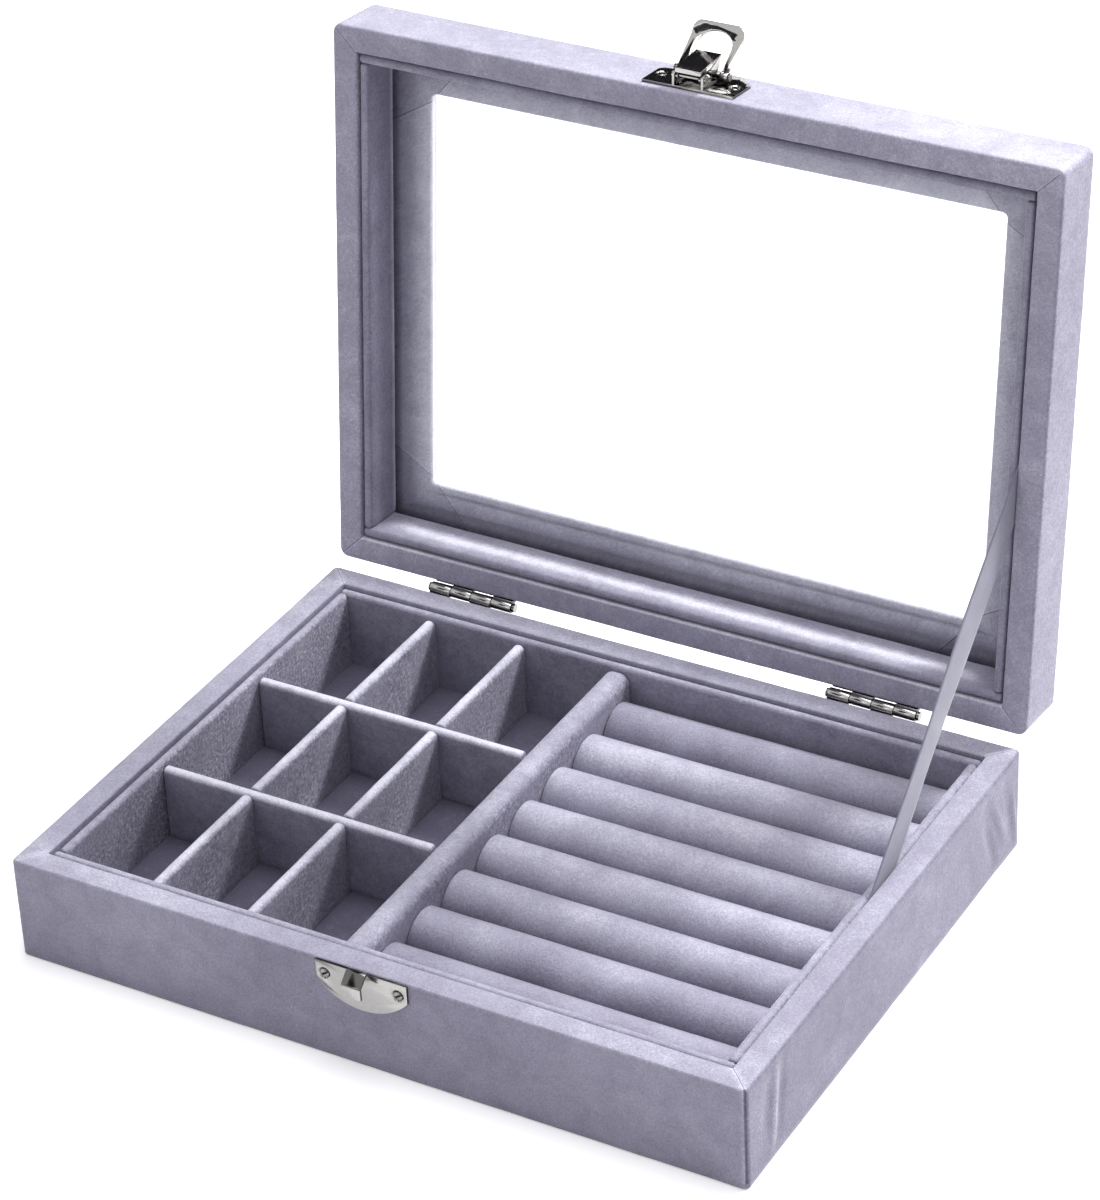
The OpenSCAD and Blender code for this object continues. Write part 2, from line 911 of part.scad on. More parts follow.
// Lever: a folded channel with a front lip and two tapered cheeks
module hasp_lever() {
    top = [
        [0, lever_front_z],
        [0, lever_front_z - lever_lip],
        [lever_t, lever_front_z - lever_lip],
        [lever_t, lever_front_z - lever_t],
        [lever_l, lever_tail_z - lever_t],
        [lever_l, lever_tail_z]
    ];
    cheek = concat(
        [[0, lever_front_z], [lever_t, lever_front_z - lever_lip]],
        arc([pivot_y, pivot_z], lever_heel_r, 180, 270),
        arc([loop_pivot_y, loop_pivot_z], lever_heel_r, 270, heel_end),
        [[lever_l, lever_tail_z - lever_t], [lever_l, lever_tail_z]]
    );
    color(steel_colour)
        open_lid()
            on_front(hasp_z)
                difference() {
                    union() {
                        along_x(lever_w)
                            polygon(top);
                        for (side = [-1, 1])
                            translate([side * (lever_w - lever_t) / 2, 0, 0])
                                along_x(lever_t)
                                    polygon(cheek);
                    }
                    translate([0, pivot_y, pivot_z])
                        rod_x(latch_pin_r + running_clearance, lever_w + over);
                    translate([0, loop_pivot_y, loop_pivot_z])
                        rod_x(latch_pin_r + running_clearance, lever_w + over);
                }
}

module at_loop() {
    open_lid()
        on_front(hasp_z)
            translate([0, loop_pivot_y, loop_pivot_z])
                rotate([loop_rest_angle, 0, 0])
                    children();
}

module loop_pin() {
    color(steel_colour)
        at_loop() {
            rod_x(latch_pin_r, 2 * loop_pin_reach);
            for (side = [-1, 1])
                translate([side * (loop_pin_reach + latch_head_t / 2), 0, 0])
                    rod_x(latch_head_r, latch_head_t);
        }
}

// Loop: a U of strip with pin eyes and a far end bent in to catch the hook
module hasp_loop() {
    half = loop_t / 2;
    mitre = half * tan(loop_bend / 2);
    fold = [loop_bend_y, 0];
    end = fold + (loop_outer_l - loop_bend_y) * [cos(loop_bend), sin(loop_bend)];
    across = half * [-sin(loop_bend), cos(loop_bend)];
    strip = [
        [0, -half],
        fold + [mitre, -half],
        end - across,
        end + across,
        fold + [-mitre, half],
        [0, half]
    ];
    inner_y = loop_bend_y + (loop_inner_l - loop_bend_y) * cos(loop_bend);
    outer_y = loop_bend_y + (loop_outer_l - loop_bend_y) * cos(loop_bend);
    color(steel_colour)
        at_loop()
            difference() {
                union() {
                    intersection() {
                        along_x(loop_outer_w + over)
                            polygon(strip);
                        translate([0, 0, -loop_t])
                            linear_extrude(loop_outer_l)
                                difference() {
                                    polygon(rounded(
                                        -loop_outer_w / 2, -over, loop_outer_w / 2, outer_y,
                                        square_r, loop_corner_r
                                    ));
                                    polygon(rounded(
                                        -loop_inner_w / 2, -2 * over, loop_inner_w / 2, inner_y,
                                        square_r, loop_arch_r
                                    ));
                                }
                    }
                    for (side = [-1, 1])
                        translate([side * (loop_inner_w + loop_arm_w) / 2, 0, 0])
                            rod_x(loop_eye_r, loop_arm_w);
                }
                rod_x(latch_pin_r + running_clearance, loop_outer_w + over);
            }
}

// ---- Ribbon stay, drawn taut between base and lid ----

module ribbon_stay() {
    color(ribbon_colour)
        translate([ribbon_x, ribbon_y, base_h])
            rotate([ribbon_angle, 0, 0])
                translate([-ribbon_t / 2, -ribbon_tuck, -ribbon_w / 2])
                    cube([ribbon_t, ribbon_l + 2 * ribbon_tuck, ribbon_w]);
}

// ---- Nodes ----

base_front_board();
base_back_board();
base_left_board();
base_right_board();
base_bottom_board();
base_velvet();
bottom_cover();
base_liner_front();
base_liner_back();
base_liner_left();
base_liner_right();
compartment_floor();
roll_bed();
centre_partition();
long_divider_front();
long_divider_back();
short_divider_front_left();
short_divider_front_right();
short_divider_middle_left();
short_divider_middle_right();
short_divider_back_left();
short_divider_back_right();
ring_roll_1();
ring_roll_2();
ring_roll_3();
ring_roll_4();
ring_roll_5();
ring_roll_6();
ring_roll_7();
ring_roll_8();
roll_foam_cores();
keeper_plate();
keeper_screws();
hinge_leaf_base_left();
hinge_leaf_base_right();
base_hinge_screws();
hinge_pin_left();
hinge_pin_right();
lid_front_board();
lid_back_board();
lid_left_board();
lid_right_board();
lid_window_board();
glass_pane();
lid_velvet();
lid_liner_front();
lid_liner_back();
lid_liner_left();
lid_liner_right();
hinge_leaf_lid_left();
hinge_leaf_lid_right();
lid_hinge_screws();
hasp_plate();
hasp_screws();
lever_pin();
hasp_lever();
loop_pin();
hasp_loop();
ribbon_stay();
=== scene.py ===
"""Ring display box: velvet wraps, pads, ring rolls, ribbon and plated fittings."""

import json
import math

import bmesh
import bpy
import numpy as np
from bpy.props import FloatProperty, FloatVectorProperty, PointerProperty
from mathutils import Matrix, Vector, noise


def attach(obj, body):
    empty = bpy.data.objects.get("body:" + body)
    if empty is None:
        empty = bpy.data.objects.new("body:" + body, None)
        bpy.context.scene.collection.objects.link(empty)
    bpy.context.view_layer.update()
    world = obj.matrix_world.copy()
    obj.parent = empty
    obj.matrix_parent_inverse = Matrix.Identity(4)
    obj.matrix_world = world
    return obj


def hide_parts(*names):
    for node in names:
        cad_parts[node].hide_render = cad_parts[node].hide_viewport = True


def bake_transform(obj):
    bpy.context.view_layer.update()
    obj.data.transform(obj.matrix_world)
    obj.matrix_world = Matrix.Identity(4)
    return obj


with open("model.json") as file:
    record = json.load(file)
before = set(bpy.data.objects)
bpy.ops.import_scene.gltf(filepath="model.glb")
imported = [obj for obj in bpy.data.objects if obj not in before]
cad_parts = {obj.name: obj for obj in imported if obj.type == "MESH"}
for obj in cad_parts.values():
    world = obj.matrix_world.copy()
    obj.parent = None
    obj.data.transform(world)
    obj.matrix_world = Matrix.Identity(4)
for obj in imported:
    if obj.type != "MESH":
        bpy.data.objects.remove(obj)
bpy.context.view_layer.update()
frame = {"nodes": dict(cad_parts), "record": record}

bl_info = {
    "name": "Ring display box",
    "version": (1, 0, 0),
    "blender": (4, 5, 0),
    "location": "3D View > Sidebar > Ring box",
    "description": "Dresses the frame of a velvet ring display box",
    "category": "Object",
}

MM = 0.001

# Places and sizes of the box's pieces, in millimetres and degrees
HALF_W, HALF_D = 100.0, 75.0
BASE_TOP, LID_RIM, LID_TOP = 28.5, 29.0, 47.0
CORNER_R, BASE_CORNER_R, LEAST_CORNER_R = 2.5, 1.6, 0.3
EDGE_R, LIP_R, LEDGE_R = 0.9, 0.6, 0.4
RIM_W, VELVET_T, TURN_DOWN = 6.8, 0.5, 9.0
WINDOW_INSET, WINDOW_R, LEDGE_Z = 20.0, 1.5, 44.0
LINER_T, LINER_DROP, LINER_TRIM = 2.5, 0.7, 0.12
DECK_Z, FLOOR_Z, GLASS_Z = 3.8, 6.0, 42.0
LINER_PLAY, FLOOR_PLAY, GLASS_PLAY = 0.06, 0.02, 0.05
INNER_W, INNER_D = 180.4, 130.4
PARTITION_X, PARTITION_T = -8.5, 7.0
DIVIDER_T, DIVIDER_TOP, END_PLAY = 3.0, 26.5, 0.1
ROLL_COUNT, ROLL_R, ROLL_FLAT = 8, 8.05, 0.4
ROLL_X0, ROLL_X1 = -4.9, 90.1
HINGE_Y, HINGE_Z, OPEN_ANGLE = 76.8, 28.75, 96.0
RIBBON_X, RIBBON_Y, RIBBON_W, RIBBON_T, RIBBON_TUCK = 92.95, 11.0, 10.0, 0.3, 8.0
RIBBON_TWIST, RIBBON_CUP = 9.0, 0.18
PLATE_T, SCREW_PITCH = 0.75, 20.0
KEEPER_SCREW_Y, HASP_Z, HASP_SCREW_Y = -3.4, 31.0, 6.0
KEEPER_SLOT_TURN, HASP_SLOT_TURN = 38, -25
SCREW_R, SCREW_SLOT, SCREW_SINK, SCREW_SEAT = 1.3, 0.3, 0.16, -0.75
SCREW_DOME, SCREW_PLAY, SHANK_R, SHANK_END = 0.34, 0.12, 0.7, -5.0

BAY_X0 = -INNER_W / 2
BAY_X1 = PARTITION_X - PARTITION_T / 2
CELL_W = (BAY_X1 - BAY_X0 - 2 * DIVIDER_T) / 3
CELL_D = (INNER_D - 2 * DIVIDER_T) / 3
ROLL_PITCH = INNER_D / ROLL_COUNT

# How far apart the points of the meshes are, in millimetres
MARK_STEP, BAR_STEP, ROLL_STEP = 1.15, 2.0, 1.8
RIM_STEP, WALL_STEP, TOP_STEP, TURN_DOWN_STEP = 0.6, 1.2, 1.5, 2.0
REVEAL_STEP, LEDGE_STEP, PAD_STEP = 0.7, 1.1, 1.6
RIBBON_STEPS, RIBBON_COLUMNS = 90, 12
# How many steps make up an outline's corner turn, and the turns in profiles
TURN_STEPS, EDGE_STEPS, LIP_STEPS, FOOT_STEPS, ROLL_TURN_STEPS = 6, 6, 4, 3, 52
# Angles of the rings that round a bar's ends over, in degrees
CAP_ANGLES = (90, 72, 54, 36, 18, 0)
# Points round a screw, and its dome's rings as shares of the way to its edge
SCREW_TURNS = 24
SCREW_SHARES = (0, 0.12, 0.3, 0.5, 0.68, 0.83, 0.94, 1)

# Velvet's swellings: share of the height and size
SWELLINGS = ((0.6, 26), (0.3, 9), (0.16, 3.5))

# Painted shadow of the dividers behind on the compartments' sides: height lost for each millimetre
# along them
SHADE_SLOPE = 1.1
# Distance from a seam at which none shows
FAR = 50.0
# Seams of the patches in the window's corners, beside a side and an end: offset, slope and norm
PATCH_SIDE, PATCH_END = (2.2, 0.6, 1.17), (1.8, 0.85, 1.31)
# Painted sheen band on the lid's hinge-side liner: height above the rim and width
BAND_Z, BAND_W = 6.2, 2.4
# How much painted shade darkens the keeper hook's cheeks and slope
HOOK_SHADE = 0.6
# Points closer than this are one point, in metres
MERGE = 0.0005 * MM

# Camera: turn, height and roll in degrees; lens, aim and distance in millimetres
CAMERA_TURN, CAMERA_LENS = (30.77, 32.21, -2.75), 137.09
CAMERA_AIM, CAMERA_REACH = (11.0, 0.0, 90.65), 988.24
# Floor and light, in metres and watts
FLOOR_W = 8.0
LIGHT_AIM = (0, 0.02, 0.05)
# Lamps: place, size and power
LAMPS = {
    "key": ((0.62, 1.02, 1.15), (0.34, 0.34), 27.0),
    "top": ((0.1, 0.15, 1.4), (1.0, 0.8), 15.0),
    "fill": ((-0.7, -1.3, 0.8), (1.2, 1.0), 4.0),
}
# Black cards: place, aim and size
DARK_CARDS = {
    "flag_behind": ((-0.62, 1.02, 0.62), LIGHT_AIM, (1.5, 1.0)),
    "flag_in_front": ((-0.66, -1.02, 0.78), LIGHT_AIM, (0.7, 0.85)),
    "flag_on_the_floor": ((0.55, -0.5, 0.02), (0.55, -0.5, 0.0), (0.6, 0.5)),
    "flag_overhead": ((-0.58, 0.32, 1.1), LIGHT_AIM, (0.9, 0.5)),
}

# Folds of the velvet beside the right side's two corners: from, to, width and share of the height
FOLDS = (
    ((HALF_W, -62.6, 2), (HALF_W, -59.8, 27.5), 1.0, 1.3),
    ((HALF_W, -59.4, 2), (HALF_W, -56.4, 27), 1.5, -0.75),
    ((HALF_W, -66, 8), (HALF_W, -64, 26), 1.3, -0.5),
    ((HALF_W, 68, 3), (HALF_W, 56, 26), 1.3, 1.0),
    ((HALF_W, 61, 1), (HALF_W, 52, 22), 1.5, -0.8),
    ((HALF_W, 71, 5), (HALF_W, 64, 26), 1.2, -0.6),
    ((HALF_W, 73, 1), (HALF_W, 69, 22), 0.9, 0.7),
    ((HALF_W - 3, -HALF_D, 3), (HALF_W - 2, -HALF_D, 24), 1.0, -0.3),
)
# Painted highlight along the tallest of them: from, to and width
FOLD_HIGHLIGHT = ((HALF_W, -62.7, 1), (HALF_W, -59.8, 28), 1.1)


# ---- Sizes and colours that a user would change ----


def linear(code):
    """An sRGB hex colour as linear red, green and blue."""
    out = []
    for k in (1, 3, 5):
        c = int(code[k : k + 2], 16) / 255
        out.append(c / 12.92 if c <= 0.04045 else ((c + 0.055) / 1.055) ** 2.4)
    return tuple(out)


def length(name, text, value):
    """A size in metres, given here in millimetres, of at most a centimetre."""
    return FloatProperty(
        name=name, description=text, default=value * MM, min=0.0, max=10 * MM,
        subtype="DISTANCE", unit="LENGTH", precision=5,
    )


def colour(name, text, code):
    """A colour, given here as sRGB hex."""
    return FloatVectorProperty(
        name=name, description=text, default=linear(code), min=0.0, max=1.0,
        size=3, subtype="COLOR",
    )


class RingBoxSizes(bpy.types.PropertyGroup):
    """Sizes of the soft forms."""

    rim_crown: length("Rim crown", "How far the velvet rises in the middle of a rim", 0.15)
    slack: length("Slack", "Unevenness of the velvet glued to the boards", 0.16)
    pad_slack: length("Pad slack", "Unevenness of the velvet on liners and dividers", 0.14)
    roll_slack: length("Roll slack", "Unevenness of the rolls' velvet sleeves", 0.3)
    wrinkle: length("Wrinkle height", "Height of the folds at the box's corners", 0.55)
    card_tuck: length("Card tuck", "How far each floor card reaches under the dividers", 0.25)
    ribbon_bow: length("Ribbon bow", "How far the ribbon bows between its ends", 1.2)
    tumbled_edge: length("Tumbled edge", "How far the plated pieces' edges are rounded over", 0.12)


class RingBoxColours(bpy.types.PropertyGroup):
    """Colours of the finishes."""

    pile_dark: colour("Pile, crushed", "Velvet in specks where the pile is pressed", "#5A5869")
    pile_low: colour("Pile, brushed down", "Velvet where the pile leans away", "#827F91")
    pile_high: colour("Pile, brushed up", "Velvet where the pile stands", "#A3A1B2")
    pile_pale: colour("Pile, tips up", "Velvet where the pile's tips catch the light", "#DCDBE8")
    ribbon: colour("Ribbon", "Satin ribbon", "#807F91")
    nickel: colour("Nickel", "Bright plated steel of the latch", "#B9B7B5")
    satin: colour("Satin nickel", "Rubbed plated steel of the keeper", "#A6A4A2")
    hinge: colour("Hinge nickel", "Dulled plated steel of the butt hinges", "#B4B2B1")
    # the screws' darker colour is painted shade for their deep countersinks
    screw: colour("Screws", "Plated screws, dulled in their slots", "#8C8A8A")
    foam: colour("Foam", "Cores of the ring rolls", "#DAD5C6")
    card: colour("Card", "Cover sheet under the base", "#6B6774")
    board: colour("Board", "Fibreboard walls", "#8C6F4E")
    floor: colour("Floor", "Surface that the box stands on", "#F2F2F4")


# ---- Meshes ----


def arc(centre, radius, start, end, steps):
    """Points of an arc, its angles in degrees."""
    angles = np.radians(np.linspace(start, end, steps + 1))
    return [(centre[0] + radius * math.cos(a), centre[1] + radius * math.sin(a)) for a in angles]


def between(a, b, shares):
    """Points at these shares of the way from a to b."""
    return [(a[0] + (b[0] - a[0]) * t, a[1] + (b[1] - a[1]) * t) for t in shares]


def straight(a, b, step):
    """Points between a and b about a step apart, without the two ends."""
    count = max(1, round(math.dist(a, b) / step))
    return between(a, b, np.linspace(0, 1, count + 1)[1:-1])


def tube_faces(rings, around, closed=False):
    """Faces between rings of points; closed joins the last ring to the first."""
    faces = []
    for a in range(rings if closed else rings - 1):
        b = (a + 1) % rings
        for j in range(around):
            k = (j + 1) % around
            faces.append((a * around + j, a * around + k, b * around + k, b * around + j))
    return faces


def slab_faces(rows, columns, first=0):
    """Faces of a closed slab: a grid of points, then the same grid for its other side."""
    layer = rows * columns
    grid = first + np.arange(layer).reshape(rows, columns)
    faces = []
    for a in grid[:-1, :-1].ravel().tolist():
        faces.append((a, a + 1, a + columns + 1, a + columns))
        faces.append(tuple(layer + k for k in (a, a + columns, a + columns + 1, a + 1)))
    rim = [*grid[0], *grid[1:, -1], *grid[-1, -2::-1], *grid[-2:0:-1, 0]]
    rim = [int(k) for k in rim]
    faces += [(a, b, b + layer, a + layer) for a, b in zip(rim, rim[1:] + rim[:1])]
    return faces


def new_object(name, points, faces, smooth=True):
    """A mesh object at the origin from points in millimetres, its faces turned outwards."""
    mesh = bpy.data.meshes.new(name)
    mesh.from_pydata((np.asarray(points) * MM).tolist(), [], faces)
    shell = bmesh.new()
    shell.from_mesh(mesh)
    bmesh.ops.remove_doubles(shell, verts=shell.verts, dist=MERGE)
    bmesh.ops.dissolve_degenerate(shell, edges=shell.edges, dist=MERGE)
    bmesh.ops.recalc_face_normals(shell, faces=shell.faces)
    shell.to_mesh(mesh)
    shell.free()
    mesh.polygons.foreach_set("use_smooth", [smooth] * len(mesh.polygons))
    obj = bpy.data.objects.new(name, mesh)
    bpy.context.scene.collection.objects.link(obj)
    return obj


def flat_sheet(name, width, depth, kind):
    """A flat rectangle round the origin, its sizes in metres, that isn't part of the box."""
    x, y = width / 2 / MM, depth / 2 / MM
    corners = [(-x, -y, 0), (x, -y, 0), (x, y, 0), (-x, y, 0)]
    obj = new_object(name, corners, [(0, 1, 2, 3)], smooth=False)
    obj.data.materials.append(finish(kind))
    return obj


def read_vertices(obj, what):
    """The positions or normals of a mesh's vertices, as rows of three."""
    flat = np.empty(len(obj.data.vertices) * 3, dtype=np.float32)
    obj.data.vertices.foreach_get(what, flat)
    return flat.reshape(-1, 3)


def vertices(obj):
    """Where the vertices are, in millimetres."""
    return read_vertices(obj, "co") / MM


def normals(obj):
    """Which way the surface faces at each vertex."""
    return read_vertices(obj, "normal")


def set_vertices(obj, points):
    obj.data.vertices.foreach_set("co", (np.asarray(points) * MM).astype(np.float32).ravel())
    obj.data.update()


def paint(obj, lean, mottle=0.0, seam=FAR):
    """Paints on each vertex how the pile leans together with painted light and shade, how speckled
    it is and how far off a seam is.
    """
    for name, values in (("lean", lean), ("mottle", mottle), ("seam", seam)):
        layer = obj.data.attributes.new(name, "FLOAT", "POINT")
        each = np.broadcast_to(values, len(obj.data.vertices))
        layer.data.foreach_set("value", each.astype(np.float32))


def smooth_step(value, low, high):
    """0 below low, 1 above high and smooth between."""
    t = np.clip((value - low) / (high - low), 0, 1)
    return t * t * (3 - 2 * t)


def hump(value, width):
    """1 at zero, falling smoothly to nothing over about twice the width."""
    return np.exp(-((value / width) ** 2))


def unevenness(points, size, seed):
    """Smooth noise from -1 to 1 at each point; size is that of one swelling."""
    shift = Vector((seed * 17.3, seed * 7.9, seed * 3.1))
    return np.array([noise.noise(Vector(p) / size + shift) for p in points.tolist()])


def ruffle(obj, height, seed, weight=1.0):
    """Moves the surface in and out by height, in swellings of three sizes."""
    points, outward = vertices(obj), normals(obj)
    wave = sum(
        share * unevenness(points, size, seed + n) for n, (share, size) in enumerate(SWELLINGS))
    set_vertices(obj, points + outward * (wave * height / MM * weight)[:, None])


def opened(points):
    """Points of the shut lid, turned to where it stands open."""
    turn = Matrix.Rotation(math.radians(-OPEN_ANGLE), 3, "X")
    pivot = np.array([0, HINGE_Y, HINGE_Z])
    return (np.asarray(points) - pivot) @ np.array(turn).T + pivot


def side_marks(side_length):
    """Shares along one side, close together near its corners."""
    near = [0.35, 0.8, 1.4, 2.2, 3.2, 4.6, 6.2]
    inner = 8
    middle = np.linspace(inner, side_length - inner, round((side_length - 2 * inner) / MARK_STEP))
    marks = near + middle.tolist() + [side_length - m for m in reversed(near)]
    return [m / side_length for m in marks]


def outline(half_w, half_d, radius):
    """Closed outline of a rectangle with rounded corners, with the steps of every other."""
    x, y = half_w - radius, half_d - radius
    corners = ((x, y, 0), (-x, y, 90), (-x, -y, 180), (x, -y, 270))
    turns = [arc((cx, cy), radius, start, start + 90, TURN_STEPS) for cx, cy, start in corners]
    points = []
    for k, turn in enumerate(turns):
        side_length = 2 * (HALF_D if k % 2 else HALF_W) - 2 * CORNER_R
        points += turn + between(turn[-1], turns[(k + 1) % 4][0], side_marks(side_length))
    return points


def wrap(name, profile, radius_at, outside, seed):
    """A skin round the box, from a closed profile of (inset, height) points.

    Points of the profile before outside are made uneven. It gives back the object and the place
    in the profile that each vertex comes from.
    """
    points = [
        (x, y, z)
        for inset, z in profile
        for x, y in outline(HALF_W - inset, HALF_D - inset, radius_at(inset))
    ]
    around = len(points) // len(profile)
    obj = new_object(name, points, tube_faces(len(profile), around, closed=True))
    if len(obj.data.vertices) != len(points):
        raise RuntimeError(f"{name}: {len(obj.data.vertices)} vertices, {len(points)} expected")
    row = np.arange(len(points)) // around
    slack = bpy.context.scene.ring_box_sizes.slack
    ruffle(obj, slack, seed, (row < outside).astype(float))
    return obj, row


def bar(name, profile, start, end, cap, x=0.0, y=0.0, along_y=False, step=BAR_STEP):
    """A bar along X or Y, from a closed profile of (across, height) points.

    Its two ends are rounded over by cap, and it is moved to x and y.
    """
    outer = np.array(profile)
    middle = (outer.min(axis=0) + outer.max(axis=0)) / 2
    half = (outer.max(axis=0) - outer.min(axis=0)) / 2
    turned = [math.radians(a) for a in CAP_ANGLES]
    stations = [(start + cap - cap * math.sin(a), cap - cap * math.cos(a)) for a in turned]
    stations += straight((start + cap, 0), (end - cap, 0), step)
    stations += [(start + end - s, inset) for s, inset in reversed(stations[: len(turned)])]
    around = len(profile)
    points = []
    for s, inset in stations:
        points += [(s, *p) for p in middle + (outer - middle) * (1 - inset / half)]
    faces = tube_faces(len(stations), around)
    for first, s in ((0, stations[0][0]), (len(points) - around, stations[-1][0])):
        points.append((s, *middle))
        hub = len(points) - 1
        faces += [(first + j, first + (j + 1) % around, hub) for j in range(around)]
    p = np.array(points)
    if along_y:
        p = np.stack([-p[:, 1], p[:, 0], p[:, 2]], axis=1)
    return new_object(name, p + np.array([x, y, 0]), faces)


def pad_profile(thick, low, high, top_r, low_r):
    """Closed outline of an upright pad: (across, height), rounded on top."""
    half = thick / 2
    points = arc((half - low_r, low + low_r), low_r, -90, 0, FOOT_STEPS)
    points += straight((half, low + low_r), (half, high - top_r), PAD_STEP)
    points += arc((half - top_r, high - top_r), top_r, 0, 90, EDGE_STEPS)
    points += arc((-half + top_r, high - top_r), top_r, 90, 180, EDGE_STEPS)
    points += straight((-half, high - top_r), (-half, low + low_r), PAD_STEP)
    points += arc((-half + low_r, low + low_r), low_r, 180, 270, FOOT_STEPS)
    return points


# ---- Nodes ----

MATH, NOISE = "ShaderNodeMath", "ShaderNodeTexNoise"
RAMP, RANGE = "ShaderNodeValToRGB", "ShaderNodeMapRange"


def add(tree, kind, given=(), stops=(), **settings):
    """One node with its settings, a ramp's stops, and each input set or linked.

    Inputs are given by name or in order. A node given for an input stands for its first output.
    """
    made = tree.nodes.new(kind)
    for name, value in settings.items():
        setattr(made, name, value)
    for name, value in given.items() if isinstance(given, dict) else enumerate(given):
        if isinstance(value, bpy.types.Node):
            value = value.outputs[0]
        if isinstance(value, bpy.types.NodeSocket):
            tree.links.new(value, made.inputs[name])
        else:
            made.inputs[name].default_value = value
    for _ in stops[2:]:
        made.color_ramp.elements.new(1.0)
    for k, (place, value) in enumerate(stops):
        made.color_ramp.elements[k].position = place
        made.color_ramp.elements[k].color = rgba(value)
    return made


def rgba(value):
    return (*value, 1.0)


def grid_tree():
    """Repeats a mesh in columns and rows, then makes each copy's surface uneven in its own way."""
    tree = bpy.data.node_groups.new("Repeat on a grid", "GeometryNodeTree")
    for name, kind in (
        ("Geometry", "Geometry"), ("Columns", "Int"), ("Rows", "Int"),
        ("Column step", "Float"), ("Row step", "Float"), ("Slack", "Float"),
        ("Swelling", "Float"), ("Seed", "Float"), ("Material", "Material"),
    ):
        tree.interface.new_socket(name, in_out="INPUT", socket_type=f"NodeSocket{kind}")
    tree.interface.new_socket("Geometry", in_out="OUTPUT", socket_type="NodeSocketGeometry")
    given = add(tree, "NodeGroupInput").outputs
    column = add(tree, "ShaderNodeCombineXYZ", {"X": given["Column step"]})
    row = add(tree, "ShaderNodeCombineXYZ", {"Y": given["Row step"]})
    columns = add(tree, "GeometryNodeMeshLine", {"Count": given["Columns"], "Offset": column})
    rows = add(tree, "GeometryNodeMeshLine", {"Count": given["Rows"], "Offset": row})
    lines = add(tree, "GeometryNodeInstanceOnPoints", {"Points": columns, "Instance": rows})
    places = add(tree, "GeometryNodeRealizeInstances", {"Geometry": lines})
    copies = add(tree, "GeometryNodeInstanceOnPoints", {
        "Points": places, "Instance": given["Geometry"]})
    solid = add(tree, "GeometryNodeRealizeInstances", {"Geometry": copies})
    spot = add(tree, "GeometryNodeInputPosition")
    scale = add(tree, MATH, (1.0, given["Swelling"]), operation="DIVIDE")
    wave = add(tree, NOISE, {
        "Vector": spot, "W": given["Seed"], "Scale": scale, "Detail": 2.0, "Roughness": 0.5},
        noise_dimensions="4D")
    centred = add(tree, MATH, (wave, 0.5), operation="SUBTRACT")
    height = add(tree, MATH, (centred, given["Slack"]), operation="MULTIPLY")
    outward = add(tree, "GeometryNodeInputNormal")
    offset = add(tree, "ShaderNodeVectorMath", {0: outward, "Scale": height}, operation="SCALE")
    moved = add(tree, "GeometryNodeSetPosition", {"Geometry": solid, "Offset": offset})
    dressed = add(tree, "GeometryNodeSetMaterial", {
        "Geometry": moved, "Material": given["Material"]})
    add(tree, "NodeGroupOutput", {"Geometry": dressed})
    return tree


def repeat(obj, kind, counts, steps, slack=0.0, swelling=9, seed=0.0):
    """Repeats obj on a grid with the grid tree, and leaves a plain mesh.

    Counts and steps are those of its columns and rows. The steps and the size of one swelling
    are in millimetres, and slack is in metres.
    """
    tree = bpy.data.node_groups.get("Repeat on a grid") or grid_tree()
    modifier = obj.modifiers.new("Repeat", "NODES")
    modifier.node_group = tree
    sockets = {s.name: s.identifier for s in tree.interface.items_tree if s.in_out == "INPUT"}
    for name, value in (
        ("Columns", counts[0]), ("Rows", counts[1]), ("Column step", steps[0] * MM),
        ("Row step", steps[1] * MM), ("Slack", slack), ("Swelling", swelling * MM),
        ("Seed", seed), ("Material", finish(kind)),
    ):
        modifier[sockets[name]] = value
    bake_modifiers(obj)


def bake_modifiers(obj):
    """Turns the result of an object's modifiers into its plain mesh."""
    graph = bpy.context.evaluated_depsgraph_get()
    mesh = bpy.data.meshes.new_from_object(obj.evaluated_get(graph))
    obj.modifiers.clear()
    obj.data = mesh


# ---- Materials ----


def chosen(name):
    """A colour set in the panel."""
    return tuple(getattr(bpy.context.scene.ring_box_colours, name))


def deeper(value, share):
    """A colour at a share of its strength."""
    return tuple(share * c for c in value)


def object_place(tree):
    return add(tree, "ShaderNodeTexCoord").outputs["Object"]


def painted(tree, name):
    """A number painted on the mesh."""
    return add(tree, "ShaderNodeAttribute", attribute_name=name).outputs["Fac"]


def surface(tree, given, relief=None, strength=0.0, depth=0.0):
    """Ends a material in one surface; relief is its height, given depth in millimetres."""
    if relief:
        given["Normal"] = add(tree, "ShaderNodeBump", {
            "Height": relief, "Strength": strength, "Distance": depth * MM})
    shader = add(tree, "ShaderNodeBsdfPrincipled", given)
    add(tree, "ShaderNodeOutputMaterial", {"Surface": shader})


def background(tree):
    """1 for the rays that show the background: from the eye, off a gloss and through glass."""
    ray = add(tree, "ShaderNodeLightPath").outputs
    seen = add(tree, MATH, (ray["Is Camera Ray"], ray["Is Glossy Ray"]), operation="MAXIMUM")
    return add(tree, MATH, (seen, ray["Is Transmission Ray"]), operation="MAXIMUM")


